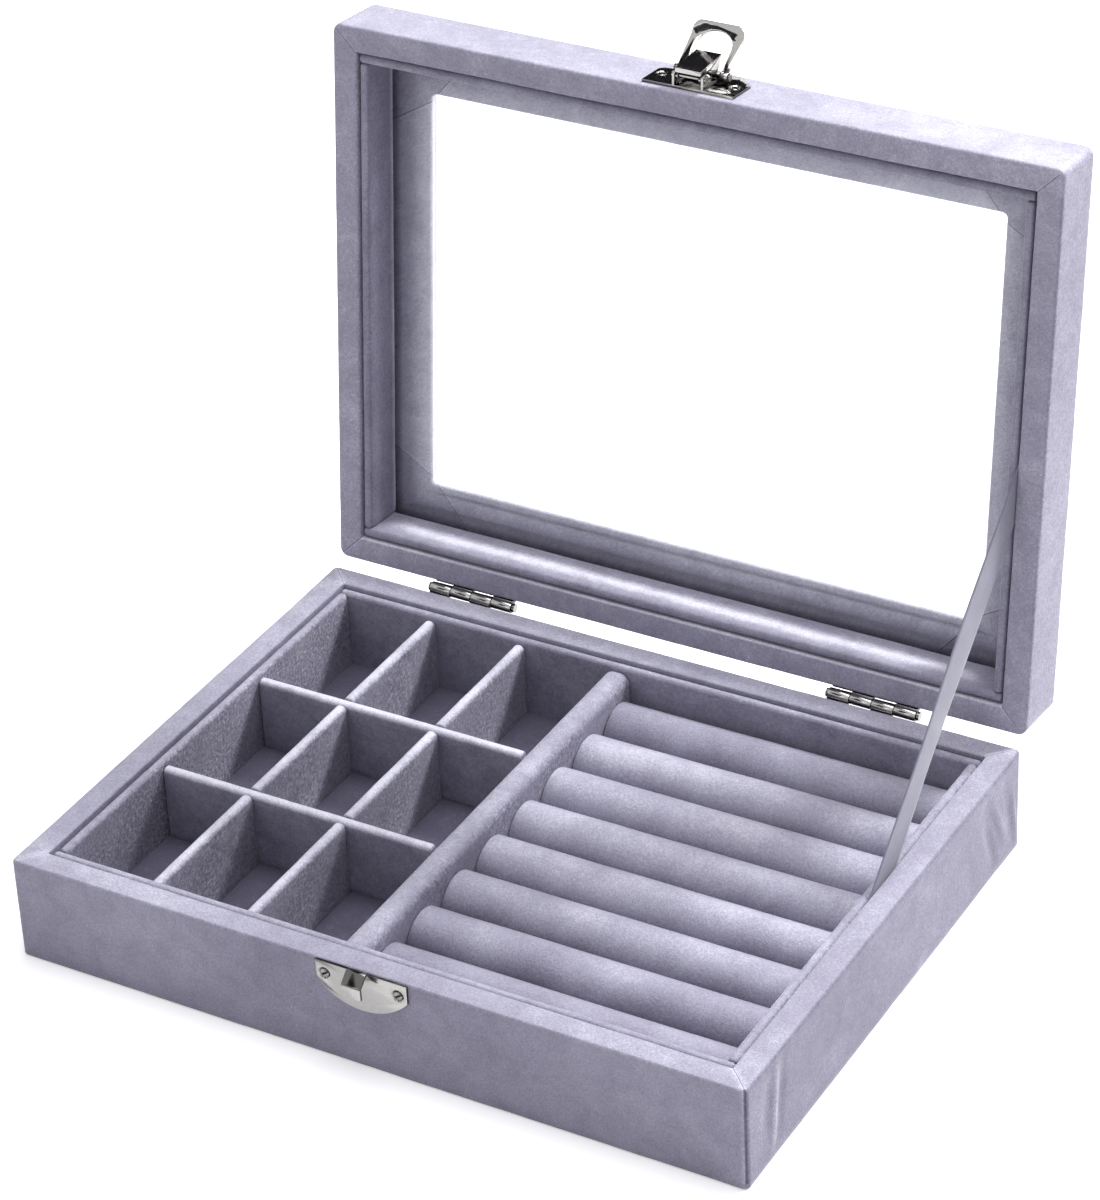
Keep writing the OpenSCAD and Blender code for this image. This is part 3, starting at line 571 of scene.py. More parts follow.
def velvet(tree, mottle, patch):
    """Flock velvet: woven ground with a 0.5 mm upright pile, glued to board.
    The eye sees a soft body colour, cloudy where the pile leans, speckled where
    it was handled, and a pale sheen where it is seen along the surface."""
    place = object_place(tree)
    cloud = add(tree, NOISE, {
        "Vector": place, "Scale": 1 / (patch * MM), "Detail": 5.0, "Roughness": 0.62,
        "Distortion": 0.5})
    # specks of pressed pile, about 1 mm across
    speck = add(tree, NOISE, {
        "Vector": place, "Scale": 1 / (0.95 * MM), "Detail": 4.0, "Roughness": 0.75})
    # pile tufts are 0.2 mm apart; drawn at 0.5 mm, the least that shows
    tuft = add(tree, NOISE, {
        "Vector": place, "Scale": 1 / (0.5 * MM), "Detail": 2.0, "Roughness": 0.8})
    # a dark line along each seam, with a painted highlight on its raised edge on one side of it
    seam = painted(tree, "seam")
    beside = add(tree, MATH, (seam,), operation="ABSOLUTE")
    sewn = add(tree, RANGE, {
        "Value": beside, "From Min": 0.1, "From Max": 0.45, "To Min": 1.0, "To Max": 0.0})
    raised = add(tree, RANGE, {
        "Value": seam, "From Min": 0.4, "From Max": 1.3, "To Min": 1.0, "To Max": 0.0})
    past = add(tree, MATH, (seam, 0.3), operation="GREATER_THAN")
    lit = add(tree, MATH, (raised, past), operation="MULTIPLY")
    gain = add(tree, MATH, (painted(tree, "mottle"), 4.5, 0.3), operation="MULTIPLY_ADD")
    # the pile's lean together with painted light and shade
    tone = painted(tree, "lean")
    for part, share in ((sewn, -0.36), (lit, 0.16)):
        tone = add(tree, MATH, (part, share, tone), operation="MULTIPLY_ADD")
    for wave, share in ((cloud, mottle), (speck, gain), (tuft, 0.55)):
        centred = add(tree, MATH, (wave, 0.5), operation="SUBTRACT")
        tone = add(tree, MATH, (centred, share, tone), operation="MULTIPLY_ADD")
    factor = add(tree, MATH, (tone, 0.5), operation="ADD", use_clamp=True)
    piles = [chosen(f"pile_{name}") for name in ("dark", "low", "high", "pale")]
    body = add(tree, RAMP, (factor,), list(zip((0.0, 0.36, 0.64, 1.0), piles)))
    nap = add(tree, MATH, (speck, 0.6, tuft), operation="MULTIPLY_ADD")
    relief = add(tree, MATH, (sewn, -1.6, nap), operation="MULTIPLY_ADD")
    surface(tree, {
        "Base Color": body, "Roughness": 0.92, "Specular IOR Level": 0.1, "Sheen Weight": 0.8,
        "Sheen Roughness": 0.32, "Sheen Tint": rgba(linear("#F0EFF8"))}, relief, 0.6, 0.16)


def ribbon(tree):
    """Single-faced satin ribbon, woven from filament: fine warp lines with a soft gloss."""
    across = add(tree, "ShaderNodeUVMap", uv_map="ribbon")
    parts = add(tree, "ShaderNodeSeparateXYZ", (across,))
    # warp threads are 0.12 mm apart; drawn at 0.4 mm, the least that shows
    thread = add(tree, MATH, (parts, 2 * math.pi / (0.4 * MM)), operation="MULTIPLY")
    warp = add(tree, MATH, (thread,), operation="SINE")
    cloud = add(tree, NOISE, {"Vector": across, "Scale": 120.0, "Detail": 3.0})
    tone = add(tree, MATH, (warp, 0.08, cloud), operation="MULTIPLY_ADD")
    satin = chosen("ribbon")
    body = add(tree, RAMP, (tone,), [(0.25, deeper(satin, 0.78)), (0.75, satin)])
    surface(tree, {
        "Base Color": body, "Roughness": 0.42, "Specular IOR Level": 0.4, "Anisotropic": 0.4,
        "Sheen Weight": 0.3, "Sheen Roughness": 0.4}, warp, 0.3, 0.03)


def plated(tree, name, rough_low, rough_high, depth):
    """Nickel-plated stamped steel: bright, with the faint waves and rub marks of pressing,
    and painted shade in its recesses and on the keeper hook's cheeks and slope."""
    place = object_place(tree)
    smear = add(tree, NOISE, {"Vector": place, "Scale": 1 / (2.5 * MM), "Detail": 4.0})
    rub = add(tree, NOISE, {"Vector": place, "Scale": 1 / (0.3 * MM), "Detail": 3.0})
    gloss = add(tree, RANGE, {
        "Value": smear, "From Min": 0.3, "From Max": 0.7, "To Min": rough_low,
        "To Max": rough_high})
    plate = chosen(name)
    body = add(tree, RAMP, (rub,), [(0.3, deeper(plate, 0.88)), (0.65, plate)])
    # painted shade: ambient occlusion darkens the plating in its recesses
    nook = add(tree, "ShaderNodeAmbientOcclusion", {"Distance": 3.0 * MM}, samples=8)
    shade = add(tree, RAMP, (nook.outputs["AO"],), [
        (0.5, (0.14, 0.13, 0.13)), (0.97, (1.0, 1.0, 1.0))])
    # painted shade on the keeper hook's faces, multiplied in with the recesses' shade
    clean = add(tree, MATH, (1.0, painted(tree, "dull")), operation="SUBTRACT")
    wear_and_shade = add(tree, "ShaderNodeVectorMath", {0: shade, "Scale": clean}, operation="SCALE")
    body = add(tree, "ShaderNodeVectorMath", (body, wear_and_shade), operation="MULTIPLY")
    surface(tree, {"Base Color": body, "Metallic": 1.0, "Roughness": gloss}, smear, 0.35, depth)


def glass(tree):
    """Float glass, 2 mm, clear and clean: it shows as a faint gloss and a grey-green cut edge."""
    haze = add(tree, NOISE, {"Vector": object_place(tree), "Scale": 1 / (40 * MM), "Detail": 2.0})
    gloss = add(tree, RANGE, {
        "Value": haze, "From Min": 0.3, "From Max": 0.7, "To Min": 0.0, "To Max": 0.02})
    surface(tree, {
        "Base Color": rgba(linear("#F4FAF8")), "Roughness": gloss, "IOR": 1.52,
        "Transmission Weight": 1.0, "Alpha": 0.18})


def board(tree):
    """Medium-density fibreboard, sawn: fine pale and dark fibres."""
    fibre = add(tree, NOISE, {
        "Vector": object_place(tree), "Scale": 1 / (1.2 * MM), "Detail": 6.0, "Distortion": 1.0})
    wood = chosen("board")
    body = add(tree, RAMP, (fibre,), [(0.3, deeper(wood, 0.6)), (0.7, wood)])
    surface(tree, {"Base Color": body, "Roughness": 0.85}, fibre, 0.4, 0.1)


def card(tree):
    """Pressed greyboard covered in leather-grain paper: fine pebbled relief, low gloss."""
    place = object_place(tree)
    pebble = add(tree, "ShaderNodeTexVoronoi", {"Vector": place, "Scale": 1 / (0.9 * MM)})
    cloud = add(tree, NOISE, {"Vector": place, "Scale": 1 / (15 * MM), "Detail": 4.0})
    tone = add(tree, MATH, (pebble, 0.3, cloud), operation="MULTIPLY_ADD")
    paper = chosen("card")
    body = add(tree, RAMP, (tone,), [(0.3, deeper(paper, 0.75)), (0.9, paper)])
    surface(tree, {"Base Color": body, "Roughness": 0.6}, pebble, 0.5, 0.12)


def foam(tree):
    """Open-cell polyurethane foam, cut: small dark pores."""
    pore = add(tree, "ShaderNodeTexVoronoi", {
        "Vector": object_place(tree), "Scale": 1 / (0.8 * MM)})
    core = chosen("foam")
    body = add(tree, RAMP, (pore,), [(0.0, deeper(core, 0.5)), (0.45, core)])
    surface(tree, {"Base Color": body, "Roughness": 0.95}, pore, 0.8, 0.3)


def floor(tree):
    """Matt painted board, lit evenly: near white, with the box's shadow, and white far away."""
    place = object_place(tree)
    cloud = add(tree, NOISE, {"Vector": place, "Scale": 6.0, "Detail": 2.0})
    paint_colour = chosen("floor")
    body = add(tree, RAMP, (cloud,), [(0.3, deeper(paint_colour, 0.985)), (0.7, paint_colour)])
    reach = add(tree, "ShaderNodeVectorMath", (place,), operation="LENGTH")
    level = add(tree, RANGE, {
        "Value": reach.outputs["Value"], "From Min": 0.5, "From Max": 1.4,
        "To Min": 0.42, "To Max": 1.0})
    glow = add(tree, MATH, (background(tree), level), operation="MULTIPLY")
    surface(tree, {
        "Base Color": body, "Roughness": 1.0, "Specular IOR Level": 0.0,
        "Emission Color": (1, 1, 1, 1), "Emission Strength": glow})


def felt(tree):
    """Black studio felt: matt, with a faint fibre."""
    fibre = add(tree, NOISE, {"Vector": object_place(tree), "Scale": 30.0, "Detail": 3.0})
    body = add(tree, RAMP, (fibre,), [(0.3, (0.01, 0.01, 0.012)), (0.7, (0.03, 0.03, 0.035))])
    surface(tree, {"Base Color": body, "Roughness": 1.0, "Specular IOR Level": 0.0})


# Each finish: its maker, its name and the maker's settings. Velvet has the strength and the size
# of its clouds in millimetres; plating its colour, least and most roughness and depth of relief.
FINISHES = {
    "velvet": (velvet, "Flock velvet", 0.35, 7),
    "velvet_pads": (velvet, "Flock velvet on pads", 0.4, 4),
    "velvet_rolls": (velvet, "Flock velvet on rolls", 0.3, 9),
    "ribbon": (ribbon, "Woven satin ribbon"),
    "bright": (plated, "Bright nickel plate", "nickel", 0.05, 0.14, 0.012),
    "satin": (plated, "Satin nickel plate", "satin", 0.1, 0.22, 0.03),
    "hinge": (plated, "Dull nickel plate", "hinge", 0.12, 0.2, 0.006),
    "screw": (plated, "Nickel-plated screws", "screw", 0.16, 0.3, 0.03),
    "glass": (glass, "Float glass"),
    "board": (board, "Sawn fibreboard"),
    "card": (card, "Grained paper on card"),
    "foam": (foam, "Cut polyurethane foam"),
    "floor": (floor, "Matt painted floor"),
    "felt": (felt, "Black felt flag"),
}


def finish(kind):
    """The material of that kind, made when it is first asked for."""
    maker, name, *settings = FINISHES[kind]
    material = bpy.data.materials.get(name)
    if material is None:
        material = bpy.data.materials.new(name)
        material.use_nodes = True
        material.node_tree.nodes.clear()
        maker(material.node_tree, *settings)
    return material


def dress(obj, kind, body, slot, *nodes):
    """Gives a piece its material and body, and hides the nodes it stands for; its finish slot is
    not used.
    """
    obj.data.materials.clear()
    obj.data.materials.append(finish(kind))
    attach(obj, body)
    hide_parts(*nodes)


# ---- Stage ----


def place_camera(scene):
    """A long lens above the box, turned to its front right corner."""
    azimuth, height, roll = (math.radians(a) for a in CAMERA_TURN)
    level = math.cos(height)
    back = Vector((math.sin(azimuth) * level, -math.cos(azimuth) * level, math.sin(height)))
    ahead = -back
    right = ahead.cross(Vector((0, 0, 1))).normalized()
    up = right.cross(ahead)
    c, s = math.cos(roll), math.sin(roll)
    turned_right, turned_up = c * right + s * up, -s * right + c * up
    lens = bpy.data.cameras.new("camera")
    lens.sensor_fit = "HORIZONTAL"
    lens.sensor_width = 36.0
    lens.lens = CAMERA_LENS
    lens.clip_end = 20.0
    camera = bpy.data.objects.new("camera", lens)
    scene.collection.objects.link(camera)
    spot = Vector(CAMERA_AIM) * MM + back * CAMERA_REACH * MM
    turn = Matrix((turned_right, turned_up, back)).transposed()
    camera.matrix_world = Matrix.Translation(spot) @ turn.to_4x4()
    scene.camera = camera


def aimed(spot, aim):
    """The place of a lamp or card at spot, its front towards aim."""
    spot = Vector(spot)
    turn = (spot - Vector(aim)).to_track_quat("Z", "Y")
    return Matrix.Translation(spot) @ turn.to_matrix().to_4x4()


def light_scene(scene):
    """Three soft lamps, a white background, and black cards that only show in the plating."""
    scene.view_settings.view_transform = "Standard"
    world = bpy.data.worlds.new("studio")
    world.use_nodes = True
    tree = world.node_tree
    tree.nodes.clear()
    ambient = add(tree, "ShaderNodeBackground", (rgba(linear("#F6F5FA")), 0.29))
    white = add(tree, "ShaderNodeBackground", ((1, 1, 1, 1), 1.0))
    both = add(tree, "ShaderNodeMixShader", (background(tree), ambient, white))
    add(tree, "ShaderNodeOutputWorld", {"Surface": both})
    scene.world = world
    for name, (spot, size, power) in LAMPS.items():
        light = bpy.data.lights.new(name, "AREA")
        light.shape = "RECTANGLE"
        light.size, light.size_y = size
        light.energy = power
        lamp = bpy.data.objects.new(name, light)
        scene.collection.objects.link(lamp)
        lamp.matrix_world = aimed(spot, LIGHT_AIM)
    for name, (spot, aim, size) in DARK_CARDS.items():
        flag = flat_sheet(name, *size, "felt")
        flag.data.transform(aimed(spot, aim))
        flag.visible_camera = flag.visible_diffuse = False
        flag.visible_shadow = flag.visible_transmission = False


# ---- Forms that the pieces share ----


def crowned(points, crown):
    """Raises the middle of a rim by crown."""
    width = RIM_W - LIP_R - EDGE_R
    return [(x, z + crown * math.sin(math.pi * (x - EDGE_R) / width)) for x, z in points]


def mitre(points):
    """Distance from the diagonals through the box's four corners."""
    return ((HALF_W - np.abs(points[:, 0])) - (HALF_D - np.abs(points[:, 1]))) / math.sqrt(2)


def ridge(points, a, b, width):
    """Height from 0 to 1 of a soft ridge along the line from a to b."""
    a, b = np.array(a), np.array(b)
    along = np.clip(((points - a) @ (b - a)) / ((b - a) @ (b - a)), 0, 1)
    near = a + along[:, None] * (b - a)
    distance = np.linalg.norm(points - near, axis=1)
    return hump(distance, width) * np.sin(np.pi * np.clip(along, 0.04, 0.96))


def base_radius(inset):
    """Corner radius of the base's wrap at an inset."""
    return max(BASE_CORNER_R - inset, LEAST_CORNER_R)


def lid_radius(inset):
    """Corner radius of the lid's wrap at an inset: tight at the rim, wide at the window."""
    if inset < RIM_W + 0.01:
        return max(CORNER_R - inset, LEAST_CORNER_R)
    share = (inset - RIM_W) / (WINDOW_INSET - RIM_W)
    return LEAST_CORNER_R + (WINDOW_R - LEAST_CORNER_R) * min(1.0, share)


def past_seam(u, v, offset, slope, norm):
    """Distance past a slanting seam."""
    return (-u - offset - slope * v) / norm


def patch_corner(points):
    """Distance past the seams of the velvet patches in the window board's corners."""
    across = np.abs(points[:, 0]) - (HALF_W - WINDOW_INSET)
    along = np.abs(points[:, 1]) - (HALF_D - WINDOW_INSET)
    side, end = past_seam(along, across, *PATCH_SIDE), past_seam(across, along, *PATCH_END)
    return np.where(across > along, side, end)


def pile(obj, seed, tone=0.0, up=0.1, handled=0.38, painted_shadow=0.0):
    """Paints how the pile leans, painted light on faces that face up, painted shade by tone, and
    how speckled it is on faces that were handled.

    A painted shadow, cast by the divider behind, darkens a compartment's side towards its far
    lower corner.
    """
    points, outward = vertices(obj), normals(obj)
    # painted light: up lightens faces that face up; tone darkens the piece as painted shade
    lean = tone + 0.12 * unevenness(points, 14, seed + 9) + up * outward[:, 2]
    facing = smooth_step(outward[:, 0], 0.5, 0.95)
    wear_and_shade = facing * np.clip(0.75 + unevenness(points, 16, seed + 4), 0, 1.2)
    # painted shadow of the divider behind, on faces that face +X
    if painted_shadow:
        to_back = CELL_D - (points[:, 1] + INNER_D / 2) % (CELL_D + DIVIDER_T)
        below = DIVIDER_TOP - points[:, 2] - SHADE_SLOPE * to_back
        lean -= painted_shadow * facing * smooth_step(below, -1.0, 3.0)
    paint(obj, lean, handled * wear_and_shade)


def lid_liner_pile_and_light(obj, seed):
    """Paints a lid liner: painted shade on its inner walls, a painted highlight along the left
    one's edge at the glass, and a painted sheen band along the hinge side's."""
    points, outward = vertices(obj), normals(obj)
    x, y, z = points.T
    inner = smooth_step(-outward[:, 1], 0.4, 0.9) * (y > 0)
    ends = smooth_step(INNER_W / 2 - np.abs(x + 3 * unevenness(points, 20, 5)), 2, 12)
    band = hump(z - LID_RIM - BAND_Z - 0.8 * unevenness(points, 25, 6), BAND_W)
    lean = 0.1 * unevenness(points, 14, seed + 9) + 0.46 * inner * ends * band
    lean -= 0.22 * smooth_step(outward[:, 0], 0.4, 0.9)
    lean += 0.5 * smooth_step(z, GLASS_Z - 1.4, GLASS_Z - 0.7) * (outward[:, 0] > 0.1)
    paint(obj, lean - 0.12 * smooth_step(outward[:, 1], 0.4, 0.9))


def part_of(node):
    """The body and the finish slot that the record gives a construction piece."""
    record = frame["record"]
    bodies = record["behaviour"]["bodies"]
    body = next(body for body, nodes in bodies.items() if node in nodes)
    return body, next(p["material_slot"] for p in record["subparts"] if p["node"] == node)


def softened(node, edge):
    """A copy of a stamped piece with its edges rounded over, as tumbling leaves them."""
    mesh = frame["nodes"][node].data.copy()
    shell = bmesh.new()
    shell.from_mesh(mesh)
    bmesh.ops.remove_doubles(shell, verts=shell.verts, dist=0.01 * MM)
    flat = math.radians(1.5)
    bmesh.ops.dissolve_limit(shell, angle_limit=flat, verts=shell.verts, edges=shell.edges)
    shell.to_mesh(mesh)
    shell.free()
    mesh.polygons.foreach_set("use_smooth", [True] * len(mesh.polygons))
    obj = bpy.data.objects.new(f"{node}_plated", mesh)
    bpy.context.scene.collection.objects.link(obj)
    bevel = obj.modifiers.new("Tumbled edges", "BEVEL")
    bevel.width = edge
    bevel.segments = 2
    bevel.limit_method = "ANGLE"
    bevel.angle_limit = math.radians(28)
    bevel.harden_normals = True
    bake_modifiers(obj)
    return obj


def shade_hook(obj):
    """Paints shade on the cheeks and the slope of the keeper's hook."""
    off_plate = -(HALF_D + PLATE_T + 0.15) * MM
    layer = obj.data.attributes.new("dull", "FLOAT", "FACE")
    for face, dull in zip(obj.data.polygons, layer.data):
        cheek_or_slope = abs(face.normal.x) > 0.6 or 0.15 < face.normal.z < 0.96
        if face.center.y < off_plate and cheek_or_slope:
            dull.value = HOOK_SHADE


def screw_mesh():
    """A slotted raised head in its countersink, facing +Z, with the surface of its plate at 0."""
    points, faces = [], []
    marks = np.linspace(-1, 1, 9)
    across = (SCREW_SLOT + (SCREW_R - SCREW_SLOT - 0.01) * np.array(SCREW_SHARES))[:, None]
    along = np.sqrt(SCREW_R ** 2 - across ** 2) * marks
    r = np.hypot(across, along) / SCREW_R
    dome = SCREW_DOME * (1 - r ** 2) - SCREW_SINK - 0.1 * smooth_step(r, 0.9, 1.0)
    for side in (-1, 1):
        faces += slab_faces(len(SCREW_SHARES), len(marks), len(points))
        for height in (dome, SCREW_SEAT):
            grid = np.broadcast_arrays(along, side * across, height)
            points += np.stack(grid, axis=-1).reshape(-1, 3).tolist()
    # the countersink's cone and the shank, as radius and depth
    first, turns, sink_r = len(points), SCREW_TURNS, SCREW_R - SCREW_PLAY
    rings = ((sink_r, -0.3), (sink_r, -0.62), (SHANK_R, -1.0), (SHANK_R, SHANK_END))
    for radius, z in rings:
        points += [(x, y, z) for x, y in arc((0, 0), radius, 0, 360 - 360 / turns, turns - 1)]
    faces += [tuple(first + k for k in face) for face in tube_faces(len(rings), turns)]
    faces += [tuple(range(first, first + turns)), tuple(range(len(points) - turns, len(points)))]
    return points, faces


def screws(node, centre, turn, outwards):
    """Two screws at centre, apart along X, with their slots turned, facing outwards."""
    obj = new_object(node.replace("screws", "screw_heads"), *screw_mesh())
    spin = Matrix.Rotation(math.radians(turn), 4, "Z")
    face = Vector(outwards).to_track_quat("Z", "Y").to_matrix().to_4x4()
    left = Vector(centre) - Vector((SCREW_PITCH / 2, 0, 0))
    obj.data.transform(Matrix.Translation(left * MM) @ face @ spin)
    repeat(obj, "screw", (2, 1), (SCREW_PITCH, 0))
    dress(obj, "screw", *part_of(node), node)


# ---- Operators ----


class RINGBOX_OT_stage(bpy.types.Operator):
    """Sets up the camera, the lamps and the pale floor"""

    bl_idname = "ringbox.stage"
    bl_label = "Stage"

    def execute(self, context):
        place_camera(context.scene)
        light_scene(context.scene)
        flat_sheet("floor", FLOOR_W, FLOOR_W, "floor")
        return {"FINISHED"}


class RINGBOX_OT_base_wrap(bpy.types.Operator):
    """Makes the velvet around the base, with its rim, seams and corner folds"""

    bl_idname = "ringbox.base_wrap"
    bl_label = "Base velvet"

    def execute(self, context):
        sizes = context.scene.ring_box_sizes
        top, t, lip_x = BASE_TOP, VELVET_T, RIM_W - LIP_R
        under, ease = 0.6, 0.3
        profile = [(under / 4, under / 2), (0, under)]
        profile += straight((0, under), (0, top - EDGE_R), WALL_STEP)
        profile += arc((EDGE_R, top - EDGE_R), EDGE_R, 180, 90, EDGE_STEPS)
        first_rim = len(profile) - 2
        rim = straight((EDGE_R, top), (lip_x, top), RIM_STEP)
        profile += crowned(rim, sizes.rim_crown / MM)
        profile += arc((lip_x, top - LIP_R), LIP_R, 90, 0, LIP_STEPS)
        last_rim = len(profile) - 3
        profile += straight((RIM_W, top - LIP_R), (RIM_W, top - TURN_DOWN), TURN_DOWN_STEP)
        outside = len(profile)
        profile += [
            (RIM_W, top - TURN_DOWN), (RIM_W - t, top - TURN_DOWN), (RIM_W - t, top - t - ease),
            (RIM_W - t - ease, top - t), (EDGE_R, top - t), (t, top - EDGE_R), (t, ease)]
        obj, row = wrap("base_wrap", profile, base_radius, outside, seed=3)
        points, outward = vertices(obj), normals(obj)
        lift = sum(part * ridge(points, a, b, width) for a, b, width, part in FOLDS)
        set_vertices(obj, points + outward * (lift * sizes.wrinkle / MM)[:, None])

        rim = (row >= first_rim) & (row <= last_rim)
        facing_right = outward[:, 0]
        # painted light on the rim, painted shade on the right side with brushed patches of pile,
        # and painted highlights along the mitres and the tallest fold
        lean = 0.02 + 0.1 * unevenness(points, 45, 8) + 0.1 * rim
        lean -= 0.14 * smooth_step(facing_right, 0.5, 0.9)
        lean += 0.2 * np.clip(unevenness(points, 12, 9) - 0.15, 0, 1) * (facing_right > 0.5)
        lean += 0.14 * rim * hump(mitre(points), 0.9) + 0.34 * ridge(points, *FOLD_HIGHLIGHT)
        down = ~rim & (points[:, 2] > 1.5) & (points[:, 0] > 0) & (row < outside)
        seam = np.where(down, mitre(points), np.where(rim, 3.6 * mitre(points), FAR))
        paint(obj, lean, 0.05 * smooth_step(facing_right, 0.3, 0.9), seam)
        dress(obj, "velvet", "base", "velvet", "base_velvet")
        return {"FINISHED"}


class RINGBOX_OT_lid_wrap(bpy.types.Operator):
    """Makes the velvet around the lid and through its window"""

    bl_idname = "ringbox.lid_wrap"
    bl_label = "Lid velvet"

    def execute(self, context):
        t, lip_x = VELVET_T, RIM_W - LIP_R
        low, top, win = LID_RIM, LID_TOP, WINDOW_INSET
        profile = [(RIM_W, low + TURN_DOWN)]
        profile += straight((RIM_W, low + TURN_DOWN), (RIM_W, low + LIP_R), TURN_DOWN_STEP)
        first_rim = len(profile) - 1
        profile += arc((lip_x, low + LIP_R), LIP_R, 0, -90, LIP_STEPS)
        rim = straight((lip_x, low), (EDGE_R, low), RIM_STEP)
        profile += crowned(rim, -context.scene.ring_box_sizes.rim_crown / MM)
        last_rim = len(profile) + 1
        profile += arc((EDGE_R, low + EDGE_R), EDGE_R, 270, 180, EDGE_STEPS)
        profile += straight((0, low + EDGE_R), (0, top - EDGE_R), WALL_STEP)
        profile += arc((EDGE_R, top - EDGE_R), EDGE_R, 180, 90, EDGE_STEPS)
        profile += straight((EDGE_R, top), (win - LIP_R, top), TOP_STEP)
        profile += arc((win - LIP_R, top - LIP_R), LIP_R, 90, 0, LIP_STEPS)
        first_reveal = len(profile)
        profile += straight((win, top - LIP_R), (win, LEDGE_Z + LEDGE_R), REVEAL_STEP)
        profile += arc((win - LEDGE_R, LEDGE_Z + LEDGE_R), LEDGE_R, 0, -90, FOOT_STEPS)
        profile += straight((win - LEDGE_R, LEDGE_Z), (RIM_W, LEDGE_Z), LEDGE_STEP)
        inside = len(profile)
        profile += [
            (RIM_W, LEDGE_Z), (RIM_W, LEDGE_Z + t), (win - t, LEDGE_Z + t), (win - t, top - t),
            (EDGE_R + t, top - t), (t, top - EDGE_R), (t, low + EDGE_R), (EDGE_R + t, low + t),
            (RIM_W - t, low + t), (RIM_W - t, low + TURN_DOWN)]
        obj, row = wrap("lid_wrap", profile, lid_radius, first_reveal, seed=11)
        points, outward = vertices(obj), normals(obj)
        x, y, z = points.T
        rim = (row >= first_rim) & (row <= last_rim)
        reveal = (row >= first_reveal) & (row < inside)
        ledge = reveal & (z < LEDGE_Z + 0.5)
        inset = np.minimum(HALF_W - np.abs(x), HALF_D - np.abs(y))
        corner = patch_corner(points)
        # painted light on the rim and front, a ledge with painted shade near the liners that pales
        # towards the window, a painted pale reveal, and a painted shade line in the crevice beside
        # the liners
        lean = 0.1 * unevenness(points, 45, 15) + 0.1 * rim
        lean += 0.2 * smooth_step(-outward[:, 1], 0.25, 0.8) * ~reveal
        lean += np.where(ledge, 0.02 + 0.3 * smooth_step(inset, 10.5, win), 0.5 * reveal)
        lean -= 0.1 * ledge * smooth_step(-corner, -0.3, 0.3)
        lean -= 0.45 * ledge * hump(inset - RIM_W - LINER_T, 0.9)
        seam = np.where(rim, 2.8 * mitre(points), np.where(ledge, 2.0 * corner, FAR))
        paint(obj, lean, 0.1 * smooth_step(outward[:, 0], 0.3, 0.9) * ~reveal, seam)
        set_vertices(obj, opened(points))
        dress(obj, "velvet", "lid", "velvet", "lid_velvet")
        return {"FINISHED"}


class RINGBOX_OT_liners(bpy.types.Operator):
    """Makes the padded strips inside the base's and the lid's walls"""

    bl_idname = "ringbox.liners"
    bl_label = "Liners"

    def execute(self, context):
        slack = context.scene.ring_box_sizes.pad_slack
        thick = LINER_T - LINER_PLAY
        low, high = LID_RIM + LINER_DROP, GLASS_Z - GLASS_PLAY
        base = pad_profile(thick, DECK_Z, BASE_TOP - LINER_DROP, 1.1, 0.1)
        lid = pad_profile(thick, low, high, 0.1, 1.1)
        seed = 20
        for body, profile in (("base", base), ("lid", lid)):
            for side, sign in (("front", -1), ("back", 1), ("left", -1), ("right", 1)):
                seed += 3
                name = f"{body}_liner_pad_{side}"
                if side in ("left", "right"):
                    half, x = INNER_D / 2 - LINER_TRIM, sign * (INNER_W + LINER_T) / 2
                    obj = bar(name, profile, -half, half, cap=0.7, x=x, along_y=True)
                else:
                    half, y = INNER_W / 2 + LINER_T, sign * (INNER_D + LINER_T) / 2
                    obj = bar(name, profile, -half, half, cap=0.7, y=y)
                ruffle(obj, slack, seed)
                if body == "base":
                    # painted light on the tops, and on the left liner the painted shadow of the
                    # dividers behind
                    pile(obj, seed, painted_shadow=0.3 * (side == "left"))
                else:
                    lid_liner_pile_and_light(obj, seed)
                    set_vertices(obj, opened(vertices(obj)))
                dress(obj, "velvet_pads", body, "velvet_pads", f"{body}_liner_{side}")
        return {"FINISHED"}


